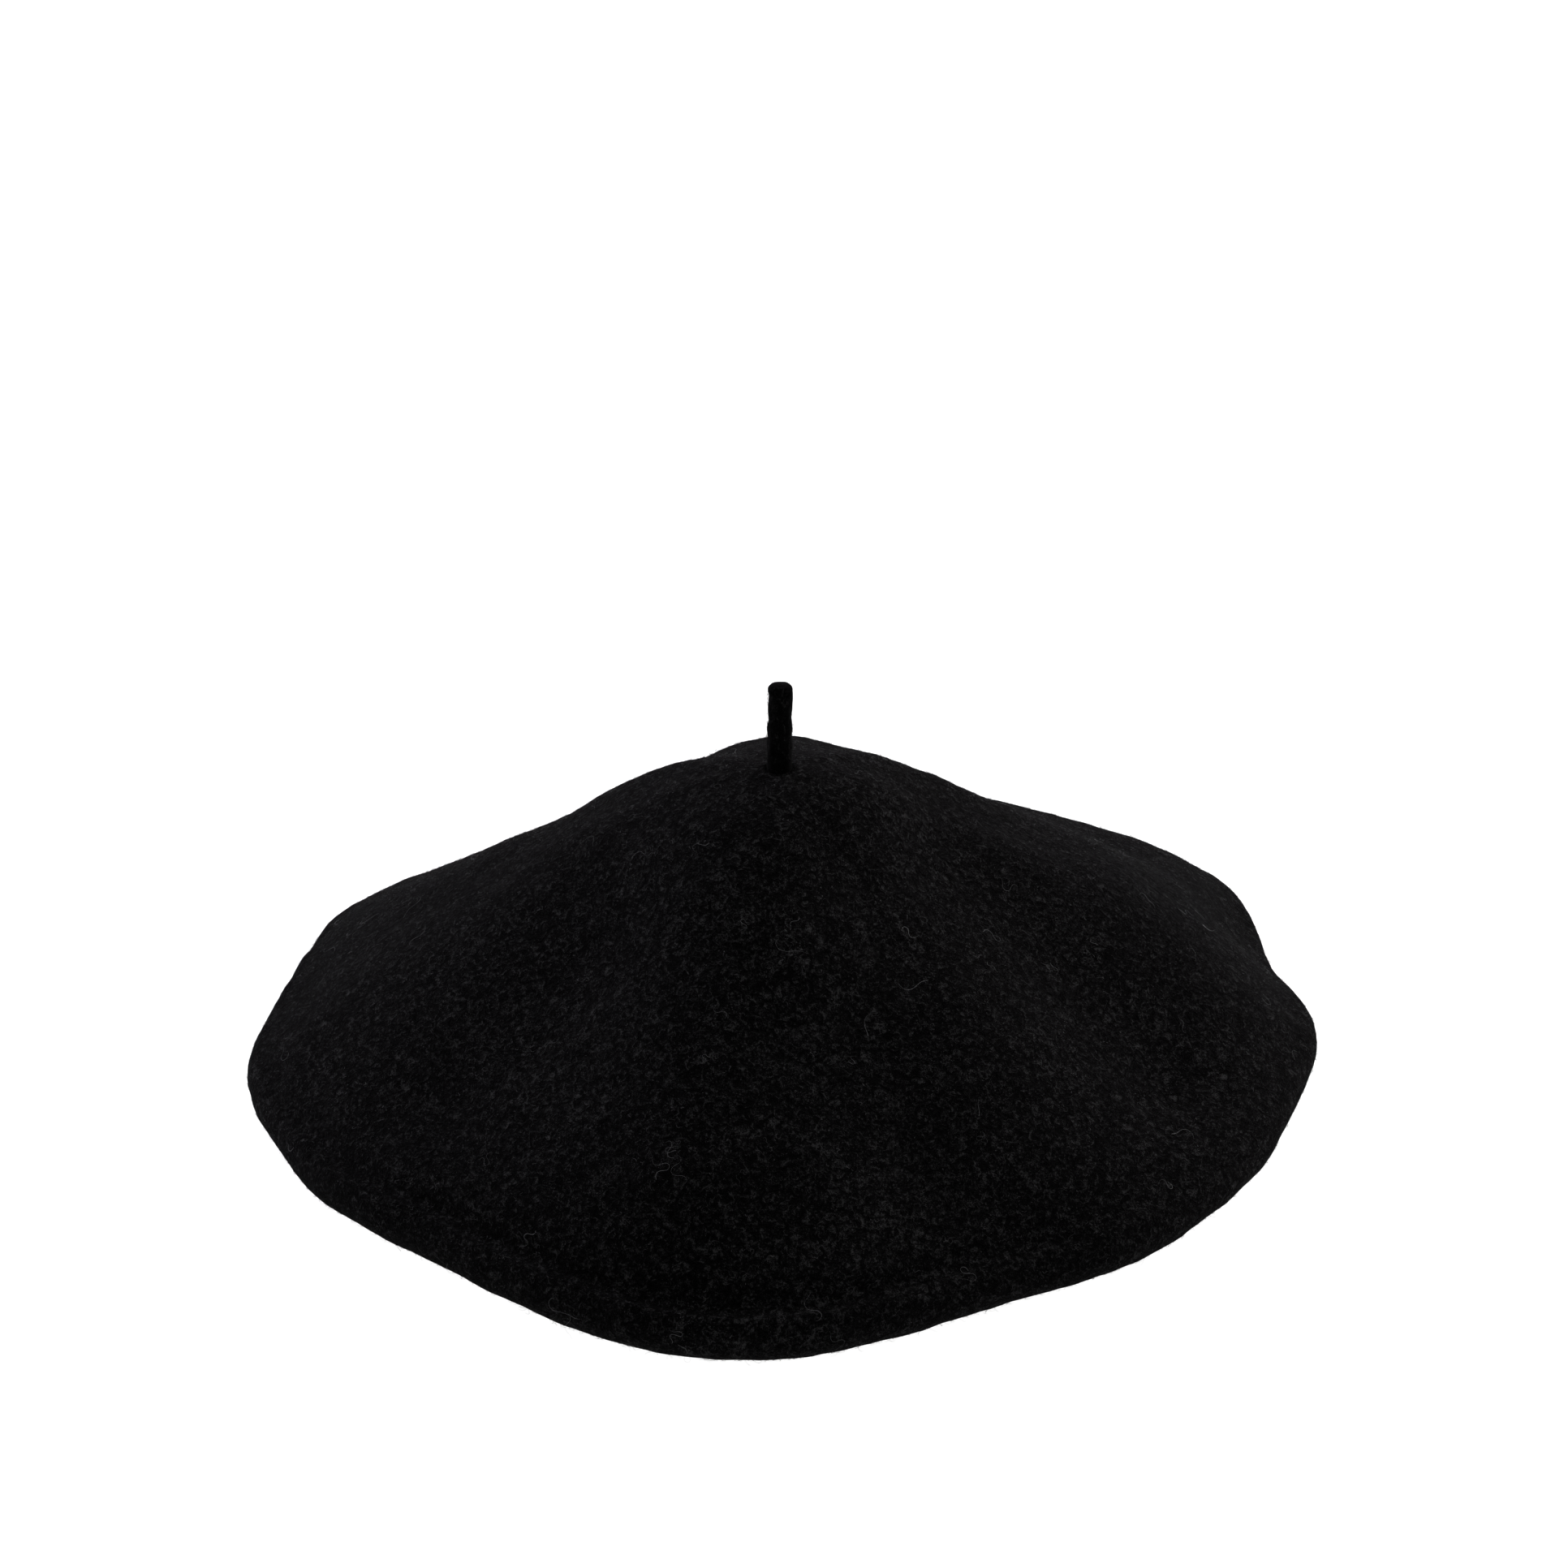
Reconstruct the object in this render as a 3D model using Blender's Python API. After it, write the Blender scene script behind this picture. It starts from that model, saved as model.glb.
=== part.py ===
"""A wool felt beret, standing on its own head opening, with its crown raised
to a soft point and its rim hanging in loose folds.

Frame: metres, +Z up, the beret rests on Z = 0 on the flat felt ring around
its head opening.  -Y is the front, +Y is the centre back, where the ends of
the sweatband meet.

Pieces: the one-piece felt body (crown, rim roll and underside), the felt
stem on its crown, the stitching under the stem's root, a satin lining in two
pieces with its seam, a leather sweatband with its two lines of stitching,
and two blank woven labels, each with the bar of thread that holds it.
"""
import bpy
import bmesh
from math import cos, sin, radians, pi, sqrt, exp, hypot, atan2
from mathutils import Vector

MM = 0.001

# ---------------------------------------------------------------- dimensions
# all in millimetres and degrees
CROWN_TOP = 88.0        # top of the crown's outer face above the shelf
RIM_RADIUS = 114.4      # mean outer radius of the rim in plan
RIM_HEIGHT = 12.0       # mean height of the middle of the rim's roll
ROLL_RADIUS = 6.5       # outer radius of the roll where crown turns under
ROLL_START = 62.0       # where the crown runs into the roll, above level
ROLL_END = -100.0       # where the roll runs into the underside
FELT = 2.3              # thickness of the felt
APEX_X = 0.85           # middle of the crown in plan
APEX_Y = -4.22
LEAN_X = -1.6           # how far the crown's middle leans off the rim's middle
LEAN_Y = -3.2
LEAN_END = 0.34         # share of the way out where the lean has died away
OPENING_AX = 82.0       # half width of the oval head opening
OPENING_AY = 86.0       # half length of the oval head opening
REST_RING = 9.0         # width of the flat ring round the opening
GAP = 0.3               # clearance between pieces that touch

# crown profile: share of the way out, share of the height left
PROFILE = (
    (0.00, 1.000), (0.08, 0.982), (0.18, 0.925), (0.32, 0.800),
    (0.48, 0.622), (0.64, 0.446), (0.80, 0.266), (0.92, 0.111), (1.00, 0.0),
)

# rim lobes: direction, half width (degrees), extra reach, extra lift (mm)
RIM_LOBES = (
    ("right_tip", 2, 12, 5.0, 2.5),
    ("right_corner", -36, 14, -2.6, 0.5),
    ("right_inset", -14, 11, 0.0, 2.5),
    ("front_right_straight", -64, 20, -11.8, -1.5),
    ("front_lobe", -97, 20, -3.4, -3.2),
    ("front_left_straight", -117, 11, -2.6, 0.0),
    ("left_corner", -134, 14, -5.0, 0.5),
    ("left_front_inset", -157, 12, 1.2, -1.5),
    ("left_tip", -177, 12, 6.8, -1.5),
    ("left_inset", 165, 11, 1.0, 1.5),
    ("left_shoulder", 150, 12, 6.0, 0.0),
    ("back_left_inset", 131, 12, -9.0, -4.0),
    ("back_lobe", 88, 16, 3.8, 1.5),
    ("back_right_inset", 62, 16, -2.0, -1.0),
    ("right_shoulder", 35, 14, 11.5, 1.0),
    ("right_back_inset", 19, 11, 0.2, -1.5),
)

# folds of the crown: start x, y, end x, y, half width, height (mm)
FOLDS = (
    ("right_valley", 36, -10, 104, -49, 19, -8.5),
    ("right_lip", 77, 22, 120, 44, 17, 4.5),
    ("front_right_slack", 17, -25, 87, -75, 14, -2.0),
    ("middle_ridge", -15, -21, -26, -94, 17, 3.5),
    ("front_valley", 10, -63, 37, -99, 15, -2.5),
    ("left_valley", -44, -34, -90, -58, 17, -5.0),
    ("front_left_slack", -43, -60, -85, -80, 13, -1.5),
    ("back_left_dip", -50, 34, -98, 56, 13, -3.0),
    ("back_right_dip", 28, 37, 75, 50, 15, -5.0),
    ("back_dip", -4, 43, -3, 98, 13, -6.0),
)

AZ_STEPS = 72           # facets round the felt
SLOPE_ROWS = 17
ROLL_ROWS = 6

# stem
STEM_ROOT_R = 2.85      # radius of the rounded root
STEM_TOP_R = 2.55
STEM_LENGTH = 20.6      # above the crown
STEM_LIFT = 0.5         # pivot above the felt that surrounds it
CUP_R = STEM_ROOT_R + 0.35
BOSS = 3.3              # extra felt under the root
BOSS_R0, BOSS_R1 = 4.5, 10.0

# lining
SATIN = 0.5
LINING_OFF = FELT + 1.1  # the lining hangs a little off the felt
TIP_END = 0.46          # share of the way out where the tip ends
SIDE_START = 0.47
SIDE_CLEAR = 4.5        # how far outside the opening the side lining turns down

# sweatband
BAND_THICK = 1.1
BAND_LOW = 0.4
BAND_HIGH = 21.5
BAND_OFF = 0.35         # inside the opening's edge
BAND_JOINT_GAP = 0.5

# labels: width, drop, thickness
SIZE_LABEL = (16.0, 11.0, 0.5)
SIZE_LABEL_AZ = 76.0
CARE_LABEL = (14.0, 15.5, 0.5)
CARE_LABEL_AZ = 128.0
LABEL_TOP = 18.0        # height of the sewn edge


# ------------------------------------------------------------------ formulas
def wrap(a):
    return (a + 180.0) % 360.0 - 180.0


def ease(a, b, x):
    t = min(1.0, max(0.0, (x - a) / (b - a)))
    return t * t * (3.0 - 2.0 * t)


def make_profile(stations):
    """Monotone cubic through the crown profile's stations."""
    xs = [s[0] for s in stations]
    ys = [s[1] for s in stations]
    n = len(xs)
    h = [xs[i + 1] - xs[i] for i in range(n - 1)]
    d = [(ys[i + 1] - ys[i]) / h[i] for i in range(n - 1)]
    m = [0.0] * n
    for i in range(1, n - 1):
        if d[i - 1] * d[i] > 0:
            w1 = 2 * h[i] + h[i - 1]
            w2 = h[i] + 2 * h[i - 1]
            m[i] = (w1 + w2) / (w1 / d[i - 1] + w2 / d[i])
    m[-1] = d[-1]

    def value(x):
        x = min(xs[-1], max(xs[0], x))
        i = 0
        while i < n - 2 and x > xs[i + 1]:
            i += 1
        t = (x - xs[i]) / h[i]
        return ((1 + 2 * t) * (1 - t) ** 2 * ys[i] + t * (1 - t) ** 2 * h[i] * m[i]
                + t * t * (3 - 2 * t) * ys[i + 1] + t * t * (t - 1) * h[i] * m[i + 1])
    return value


profile = make_profile(PROFILE)


def rim(az):
    """Outer radius and roll height of the rim in one direction."""
    r, z = RIM_RADIUS, RIM_HEIGHT
    for _, a, w, reach, lift in RIM_LOBES:
        g = exp(-(wrap(az - a) / w) ** 2)
        r += reach * g
        z += lift * g
    return r, z


def fold_height(x, y):
    """Sum of the crown's folds at a point in plan, from the crown's middle."""
    total = 0.0
    for _, ax, ay, bx, by, w, h in FOLDS:
        ux, uy = bx - ax, by - ay
        length = hypot(ux, uy)
        ux, uy = ux / length, uy / length
        s = (x - ax) * ux + (y - ay) * uy
        t = -(x - ax) * uy + (y - ay) * ux
        over = max(0.0, -s, s - length)
        total += h * exp(-(t / w) ** 2 - (over / (0.9 * w)) ** 2)
    return total


def opening_radius(az):
    """Radius of the oval opening's edge from the part's own middle."""
    a = radians(az)
    return 1.0 / sqrt((cos(a) / OPENING_AX) ** 2 + (sin(a) / OPENING_AY) ** 2)


def felt_outer(v, az):
    """Outer face of the felt.  v runs 0..1 down the crown, 1..2 round the
    roll, 2..3 along the underside to the opening's edge."""
    a = radians(az)
    ca, sa = cos(a), sin(a)
    radius, height = rim(az)
    rc = radius - ROLL_RADIUS
    t0 = radians(ROLL_START)
    if v <= 1.0:
        rj = rc + ROLL_RADIUS * cos(t0)
        zj = height + ROLL_RADIUS * sin(t0)
        r = rj * v
        fade = ease(0.05, 0.35, v) * (1.0 - ease(0.80, 1.0, v))
        z = zj + (CROWN_TOP - zj) * profile(v) + fold_height(r * ca, r * sa) * fade
        lean = 1.0 - ease(0.0, LEAN_END, v)
        return Vector((r * ca + APEX_X + LEAN_X * lean, r * sa + APEX_Y + LEAN_Y * lean, z))
    if v <= 2.0:
        t = t0 + (v - 1.0) * (radians(ROLL_END) - t0)
        r = rc + ROLL_RADIUS * cos(t)
        return Vector((r * ca + APEX_X, r * sa + APEX_Y,
                       height + ROLL_RADIUS * sin(t)))
    t = radians(ROLL_END)
    r = rc + ROLL_RADIUS * cos(t)
    start = Vector((r * ca + APEX_X, r * sa + APEX_Y, height + ROLL_RADIUS * sin(t)))
    edge_az = az
    re = opening_radius(edge_az)
    ring = re + REST_RING
    ring_pt = Vector((ring * ca, ring * sa, 0.0))
    edge_pt = Vector((re * ca, re * sa, 0.0))
    s = v - 2.0
    if s <= 0.5:
        k = s / 0.5
        p = start.lerp(ring_pt, k)
        p.z = start.z * (1.0 - ease(0.0, 1.0, k))
        return p
    return ring_pt.lerp(edge_pt, (s - 0.5) / 0.5)


def felt_normal(v, az):
    """Outward normal of the felt's outer face."""
    dv, da = 0.004, 0.25
    v0, v1 = max(0.0005, v - dv), min(3.0, v + dv)
    pv = felt_outer(v1, az) - felt_outer(v0, az)
    pa = felt_outer(v, az + da) - felt_outer(v, az - da)
    n = pv.cross(pa)
    if n.length < 1e-12:
        return Vector((0, 0, 1 if v < 1 else -1))
    n.normalize()
    return n


def offset_point(v, az, depth):
    """Point under the felt's outer face, measured square to the face."""
    p = felt_outer(v, az)
    n = felt_normal(v, az)
    if v < 0.12:
        n = n.lerp(Vector((0, 0, 1)), 1.0 - ease(0.0, 0.12, v)).normalized()
    return p - n * depth


def boss(v, az):
    """Extra thickness of the felt under the stem's root."""
    r = (felt_outer(v, az) - root_axis()).xy.length
    return BOSS * (1.0 - ease(BOSS_R0, BOSS_R1, r))


# ------------------------------------------------------------- mesh building
def lathe_like(name, rings, start_pole=None, end_pole=None, loop=False,
               origin=(0, 0, 0), material=None, closed_rings=True, sharp=40.0):
    """One closed body from rings of points; poles close the two ends."""
    bm = bmesh.new()
    o = Vector(origin)
    rows = [[bm.verts.new((Vector(p) - o) * MM) for p in ring] for ring in rings]
    count = len(rows[0])
    pairs = list(zip(rows[:-1], rows[1:]))
    if loop:
        pairs.append((rows[-1], rows[0]))
    span = count if closed_rings else count - 1
    for a, b in pairs:
        for i in range(span):
            j = (i + 1) % count
            bm.faces.new((a[i], a[j], b[j], b[i]))
    if start_pole is not None:
        p = bm.verts.new((Vector(start_pole) - o) * MM)
        for i in range(count):
            bm.faces.new((p, rows[0][(i + 1) % count], rows[0][i]))
    if end_pole is not None:
        p = bm.verts.new((Vector(end_pole) - o) * MM)
        for i in range(count):
            bm.faces.new((p, rows[-1][i], rows[-1][(i + 1) % count]))
    if not closed_rings:
        bm.faces.new([row[0] for row in rows])
        bm.faces.new([row[-1] for row in reversed(rows)])
    return finish(name, bm, origin, material, sharp)


def finish(name, bm, origin, material, sharp):
    bmesh.ops.recalc_face_normals(bm, faces=bm.faces[:])
    volume = bm.calc_volume(signed=True)
    if volume < 0:
        bmesh.ops.reverse_faces(bm, faces=bm.faces[:])
    bmesh.ops.triangulate(bm, faces=[f for f in bm.faces if len(f.verts) > 4])
    for f in bm.faces:
        f.smooth = True
    mesh = bpy.data.meshes.new(name)
    bm.to_mesh(mesh)
    bm.free()
    mesh.set_sharp_from_angle(angle=radians(sharp))
    obj = bpy.data.objects.new(name, mesh)
    obj.location = Vector(origin) * MM
    bpy.context.scene.collection.objects.link(obj)
    if material:
        mesh.materials.append(material)
    return obj


def material(name, color, roughness, sheen=0.0, metallic=0.0):
    mat = bpy.data.materials.new(name)
    mat.use_nodes = True
    bsdf = mat.node_tree.nodes["Principled BSDF"]
    bsdf.inputs["Base Color"].default_value = (*color, 1.0)
    bsdf.inputs["Roughness"].default_value = roughness
    bsdf.inputs["Metallic"].default_value = metallic
    bsdf.inputs["Sheen Weight"].default_value = sheen
    mat.diffuse_color = (*color, 1.0)
    return mat


def tube(name, centre_points, radius, sides, mat, closed=True):
    """A round thread along a path of points, as one closed body."""
    n = len(centre_points)
    rings = []
    for i in range(n):
        if closed:
            d = centre_points[(i + 1) % n] - centre_points[i - 1]
        else:
            d = centre_points[min(n - 1, i + 1)] - centre_points[max(0, i - 1)]
        d.normalize()
        up = Vector((0, 0, 1))
        if abs(d.z) > 0.95:
            up = Vector((0, 1, 0))
        side = d.cross(up).normalized()
        up = side.cross(d).normalized()
        rings.append([centre_points[i] + (side * cos(2 * pi * k / sides)
                      + up * sin(2 * pi * k / sides)) * radius for k in range(sides)])
    if closed:
        return lathe_like(name, rings, loop=True, material=mat)
    return lathe_like(name, rings, start_pole=centre_points[0], end_pole=centre_points[-1],
                      material=mat)


# ------------------------------------------------------------------ the felt
def azimuths(count):
    return [360.0 * i / count for i in range(count)]


def build_felt(mat):
    az = azimuths(AZ_STEPS)
    axis = root_axis()
    pivot = stem_pivot()
    drop = STEM_LIFT
    low = -pi / 2
    rim_angle = -atan2(drop, sqrt(CUP_R ** 2 - drop ** 2))
    rings = []
    for k in range(1, 5):
        t = low + (rim_angle - low) * k / 4.0
        r, z = CUP_R * cos(t), pivot.z + CUP_R * sin(t)
        rings.append([Vector((axis.x + r * cos(radians(a)), axis.y + r * sin(radians(a)), z))
                      for a in az])
    first = 5.2 / (RIM_RADIUS - ROLL_RADIUS)
    slope = [first + (1.0 - first) * (i / (SLOPE_ROWS - 1)) for i in range(SLOPE_ROWS)]
    path = slope + [1.0 + (i + 1) / ROLL_ROWS for i in range(ROLL_ROWS)]
    path += [2.17, 2.34, 2.5, 2.97]
    for v in path:
        rings.append([felt_outer(v, a) for a in az])
    # rounded edge of the opening
    rings.append([edge_point(a, 0.0, 0.55) for a in az])
    rings.append([edge_point(a, 0.0, FELT - 0.55) for a in az])
    # inner face, back up to the boss under the stem
    inner = [2.97, 2.5, 2.34, 2.17] + [1.0 + i / ROLL_ROWS for i in range(ROLL_ROWS, 0, -1)]
    inner += [slope[i] for i in range(SLOPE_ROWS - 1, 0, -1)]
    for v in inner:
        rings.append([offset_point(v, a, FELT + (boss(v, a) if v < 0.2 else 0.0)) for a in az])
    base = CROWN_TOP - FELT - BOSS
    for r in (6.0, 3.0):
        rings.append([Vector((axis.x + r * cos(radians(a)), axis.y + r * sin(radians(a)),
                              base - 0.15)) for a in az])
    return lathe_like("felt_body", rings,
                      start_pole=(axis.x, axis.y, pivot.z - CUP_R),
                      end_pole=(axis.x, axis.y, base - 0.15), material=mat, sharp=50)


def edge_point(az, inward, z):
    r = opening_radius(az) - inward
    a = radians(az)
    return Vector((r * cos(a), r * sin(a), z))


def stem_pivot():
    z = felt_outer(CUP_R / (RIM_RADIUS - 3.4), 90).z + STEM_LIFT
    return root_axis() + Vector((0, 0, z))


def root_axis():
    """Where the stem grows, in plan."""
    return Vector((APEX_X + LEAN_X, APEX_Y + LEAN_Y, 0.0))


# ------------------------------------------------------------------ the stem
def build_stem(mat):
    pivot = stem_pivot()
    count = 24
    outline = []
    for k in range(1, 5):                      # rounded root
        t = -pi / 2 + (pi / 2) * k / 4.0
        outline.append((STEM_ROOT_R * cos(t), STEM_ROOT_R * sin(t)))
    top = STEM_LENGTH - STEM_LIFT
    corner = 1.5
    for k in range(1, 7):                      # shaft, a little slimmer upwards
        s = k / 6.0
        z = s * (top - corner)
        r = STEM_ROOT_R + (STEM_TOP_R - STEM_ROOT_R) * ease(0, 1, s)
        outline.append((r, z))
    for k in range(1, 4):                      # soft, rather flat end
        t = (pi / 2) * k / 4.0
        outline.append((STEM_TOP_R - corner * (1 - cos(t)), top - corner + corner * sin(t) * 0.95))
    rings = [[Vector((pivot.x + r * cos(2 * pi * i / count),
                      pivot.y + r * sin(2 * pi * i / count), pivot.z + z))
              for i in range(count)] for r, z in outline]
    return lathe_like("stem", rings,
                      start_pole=(pivot.x, pivot.y, pivot.z - STEM_ROOT_R),
                      end_pole=(pivot.x, pivot.y, pivot.z + top),
                      origin=pivot, material=mat)


def build_root_stitching(mat):
    """Darned ring of thread round the boss, inside the crown."""
    pts = []
    n = 40
    for i in range(n):
        a = 2 * pi * i / n
        r = 4.2 + 0.5 * cos(10 * a)
        z = CROWN_TOP - FELT - BOSS - 0.15 - GAP - 0.35 - 0.05
        pts.append(root_axis() + Vector((r * cos(a), r * sin(a), z)))
    return tube("stem_root_stitching", pts, 0.35, 5, mat)


# ---------------------------------------------------------------- the lining
def lining_depth(v, az):
    r = v * (RIM_RADIUS - 3.4)
    return LINING_OFF + (BOSS + 1.3) * (1.0 - ease(BOSS_R0 + 2.0, BOSS_R1 + 8.0, r))


def build_lining_tip(mat):
    az = azimuths(48)
    rows = [0.06, 0.12, 0.18, 0.25, 0.32, 0.39, TIP_END]
    upper = [[offset_point(v, a, lining_depth(v, a)) for a in az] for v in rows]
    lower = [[offset_point(v, a, lining_depth(v, a) + SATIN) for a in az] for v in reversed(rows)]
    top_z = CROWN_TOP - lining_depth(0, 0)
    return lathe_like("lining_tip", upper + lower,
                      start_pole=root_axis() + Vector((0, 0, top_z)),
                      end_pole=root_axis() + Vector((0, 0, top_z - SATIN)), material=mat, sharp=60)


def side_path(az, depth_extra):
    """Points of the side lining: down the crown, then in to the opening."""
    pts = []
    turn = turn_share(az)
    for k in range(5):
        v = SIDE_START + (turn - SIDE_START) * k / 4.0
        pts.append(offset_point(v, az, LINING_OFF + depth_extra))
    top = pts[-1]
    foot = edge_point(az, -1.6 - SATIN + depth_extra, FELT + 0.45)
    for k in (0.3, 0.65):
        out = 1.0 - k ** 0.75
        pts.append(Vector((foot.x + (top.x - foot.x) * out, foot.y + (top.y - foot.y) * out,
                           top.z + (foot.z - top.z) * k)))
    pts.append(foot)
    return pts


def turn_share(az):
    """Share of the way out where the side lining clears the opening's edge."""
    goal = opening_radius(az) + SIDE_CLEAR
    lo, hi = 0.5, 1.0
    for _ in range(24):
        mid = (lo + hi) / 2.0
        if offset_point(mid, az, LINING_OFF).xy.length < goal:
            lo = mid
        else:
            hi = mid
    return lo


def build_lining_side(mat):
    az = azimuths(60)
    outer = [side_path(a, 0.0) for a in az]
    inner = [side_path(a, SATIN) for a in az]
    rows = len(outer[0])
    rings = [[outer[i][k] for i in range(len(az))] for k in range(rows)]
    rings += [[inner[i][k] for i in range(len(az))] for k in reversed(range(rows))]
    return lathe_like("lining_side", rings, loop=True, material=mat, sharp=60)


def build_lining_seam(mat):
    n = 144
    pts = []
    for i in range(n):
        az = 360.0 * i / n
        v = 0.455 + (0.004 if i % 2 else -0.004)
        pts.append(offset_point(v, az, LINING_OFF + SATIN + GAP + 0.45))
    return tube("lining_seam_stitching", pts, 0.28, 4, mat)


# ------------------------------------------------------------- the sweatband
def band_point(az, depth, z):
    """Point on the band: depth inwards from the opening's edge."""
    lean = 0.06 * max(0.0, z - 3.0)
    return edge_point(az, BAND_OFF + depth + lean, z)


def build_sweatband(mat):
    steps = 72
    half_gap = degrees_of(BAND_JOINT_GAP / 2.0)
    start, stop = 90.0 + half_gap, 450.0 - half_gap
    section = ((0.0, BAND_LOW), (0.0, 8.0), (0.0, 15.0), (0.0, BAND_HIGH - 0.35),
               (0.3, BAND_HIGH), (BAND_THICK - 0.3, BAND_HIGH),
               (BAND_THICK, BAND_HIGH - 0.35), (BAND_THICK, 15.0), (BAND_THICK, 8.0),
               (BAND_THICK, BAND_LOW))
    rings = []
    for i in range(steps + 1):
        az = start + (stop - start) * i / steps
        rings.append([band_point(az, d, z) for d, z in section])
    bm = bmesh.new()
    rows = [[bm.verts.new(p * MM) for p in ring] for ring in rings]
    n = len(section)
    for a, b in zip(rows[:-1], rows[1:]):
        for k in range(n):
            j = (k + 1) % n
            bm.faces.new((a[k], a[j], b[j], b[k]))
    bm.faces.new(rows[0])
    bm.faces.new(list(reversed(rows[-1])))
    return finish("sweatband", bm, (0, 0, 0), mat, 45)


def degrees_of(arc):
    return arc / OPENING_AY * 180.0 / pi


def build_band_stitching(mat):
    """Line of stitches along the band's lower edge, on its inner face."""
    n = 168
    pts = []
    for i in range(n):
        az = 360.0 * i / n + 90.0
        z = 3.2 + (0.25 if i % 2 else -0.25)
        pts.append(band_point(az, BAND_THICK + GAP + 0.3, z))
    return tube("sweatband_stitching", pts, 0.28, 4, mat)


def build_joint_stitching(mat):
    """Zigzag that joins the band's two ends at the centre back."""
    pts = []
    n = 13
    for i in range(n):
        z = 5.2 + (BAND_HIGH - 7.0 - 5.2) * i / (n - 1)
        az = 90.0 + degrees_of(1.7 if i % 2 else -1.7)
        pts.append(band_point(az, BAND_THICK + GAP + 0.35, z))
    return tube("sweatband_joint_stitching", pts, 0.3, 5, mat, closed=False)


# ---------------------------------------------------------------- the labels
def label_frame(az):
    """Sewn edge's middle, the direction along it and inwards from the band."""
    p = band_point(az, BAND_THICK, LABEL_TOP)
    q0, q1 = band_point(az - 0.5, BAND_THICK, LABEL_TOP), band_point(az + 0.5, BAND_THICK, LABEL_TOP)
    along = (q1 - q0).normalized()
    inward = Vector((0, 0, 1)).cross(along).normalized()
    return p, along, inward


def build_label(name, size, az, mat):
    width, drop, thick = size
    p, along, inward = label_frame(az)
    pivot = p + inward * 1.6
    corners = 0.7
    bm = bmesh.new()
    outline = [(-width / 2, 0.0), (-width / 2, -drop + corners), (-width / 2 + corners, -drop),
               (width / 2 - corners, -drop), (width / 2, -drop + corners), (width / 2, 0.0)]
    front, back = [], []
    for u, w in outline:
        base = pivot + along * u + Vector((0, 0, w))
        back.append(bm.verts.new((base - inward * thick / 2 - pivot) * MM))
        front.append(bm.verts.new((base + inward * thick / 2 - pivot) * MM))
    bm.faces.new(front)
    bm.faces.new(list(reversed(back)))
    n = len(outline)
    for i in range(n):
        j = (i + 1) % n
        bm.faces.new((front[i], back[i], back[j], front[j]))
    return finish(name, bm, pivot, mat, 40)


def build_tack(name, size, az, mat):
    """Bar of close stitches just above the label's sewn edge."""
    width = size[0]
    p, along, inward = label_frame(az)
    centre = p + inward * 1.6 + Vector((0, 0, 0.95))
    pts = []
    n = 17
    for i in range(n):
        u = -width / 2 + 0.8 + (width - 1.6) * i / (n - 1)
        pts.append(centre + along * u + Vector((0, 0, 0.18 if i % 2 else -0.18)))
    return tube(name, pts, 0.3, 5, mat, closed=False)


# ----------------------------------------------------------------- materials
def main():
    for obj in list(bpy.data.objects):
        bpy.data.objects.remove(obj, do_unlink=True)
    felt = material("wool_felt", (0.0065, 0.0065, 0.0072), 0.95, sheen=0.4)
    stem_felt = material("stem_felt", (0.005, 0.005, 0.0055), 0.92, sheen=0.3)
    root_thread = material("root_thread", (0.012, 0.012, 0.013), 0.7)
    satin_tip = material("satin_lining_tip", (0.016, 0.016, 0.02), 0.32)
    satin_side = material("satin_lining_side", (0.016, 0.016, 0.02), 0.34)
    seam_thread = material("lining_thread", (0.02, 0.02, 0.024), 0.55)
    leather = material("band_leather", (0.028, 0.022, 0.019), 0.5)
    band_thread = material("band_thread", (0.03, 0.028, 0.027), 0.6)
    joint_thread = material("joint_thread", (0.03, 0.028, 0.027), 0.6)
    woven_white = material("size_label_weave", (0.62, 0.61, 0.58), 0.75)
    woven_black = material("care_label_weave", (0.68, 0.67, 0.65), 0.7)
    tack_a = material("size_label_thread", (0.5, 0.5, 0.48), 0.7)
    tack_b = material("care_label_thread", (0.5, 0.5, 0.48), 0.7)

    build_felt(felt)
    build_stem(stem_felt)
    build_root_stitching(root_thread)
    build_lining_tip(satin_tip)
    build_lining_side(satin_side)
    build_lining_seam(seam_thread)
    build_sweatband(leather)
    build_band_stitching(band_thread)
    build_joint_stitching(joint_thread)
    build_label("size_label", SIZE_LABEL, SIZE_LABEL_AZ, woven_white)
    build_tack("size_label_tack", SIZE_LABEL, SIZE_LABEL_AZ, tack_a)
    build_label("care_label", CARE_LABEL, CARE_LABEL_AZ, woven_black)
    build_tack("care_label_tack", CARE_LABEL, CARE_LABEL_AZ, tack_b)


main()
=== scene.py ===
from math import cos, sin, radians, degrees, pi, sqrt, exp, hypot, atan2, tan, atan

import bpy
import bmesh
import numpy as np
from mathutils import Vector, Matrix


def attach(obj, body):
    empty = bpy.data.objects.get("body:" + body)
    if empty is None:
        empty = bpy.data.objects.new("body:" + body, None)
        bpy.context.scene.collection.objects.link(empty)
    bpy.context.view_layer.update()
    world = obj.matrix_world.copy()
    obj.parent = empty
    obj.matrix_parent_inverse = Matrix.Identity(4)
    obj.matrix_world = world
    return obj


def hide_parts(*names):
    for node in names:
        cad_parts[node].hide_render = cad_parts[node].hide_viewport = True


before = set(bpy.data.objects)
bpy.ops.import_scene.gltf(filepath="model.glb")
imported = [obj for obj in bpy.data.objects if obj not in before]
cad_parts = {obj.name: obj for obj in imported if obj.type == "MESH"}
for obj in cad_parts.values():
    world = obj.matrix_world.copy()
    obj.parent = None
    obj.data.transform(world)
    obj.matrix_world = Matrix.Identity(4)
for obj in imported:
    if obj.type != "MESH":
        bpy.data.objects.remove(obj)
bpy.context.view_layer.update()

MM = 0.001

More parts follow.
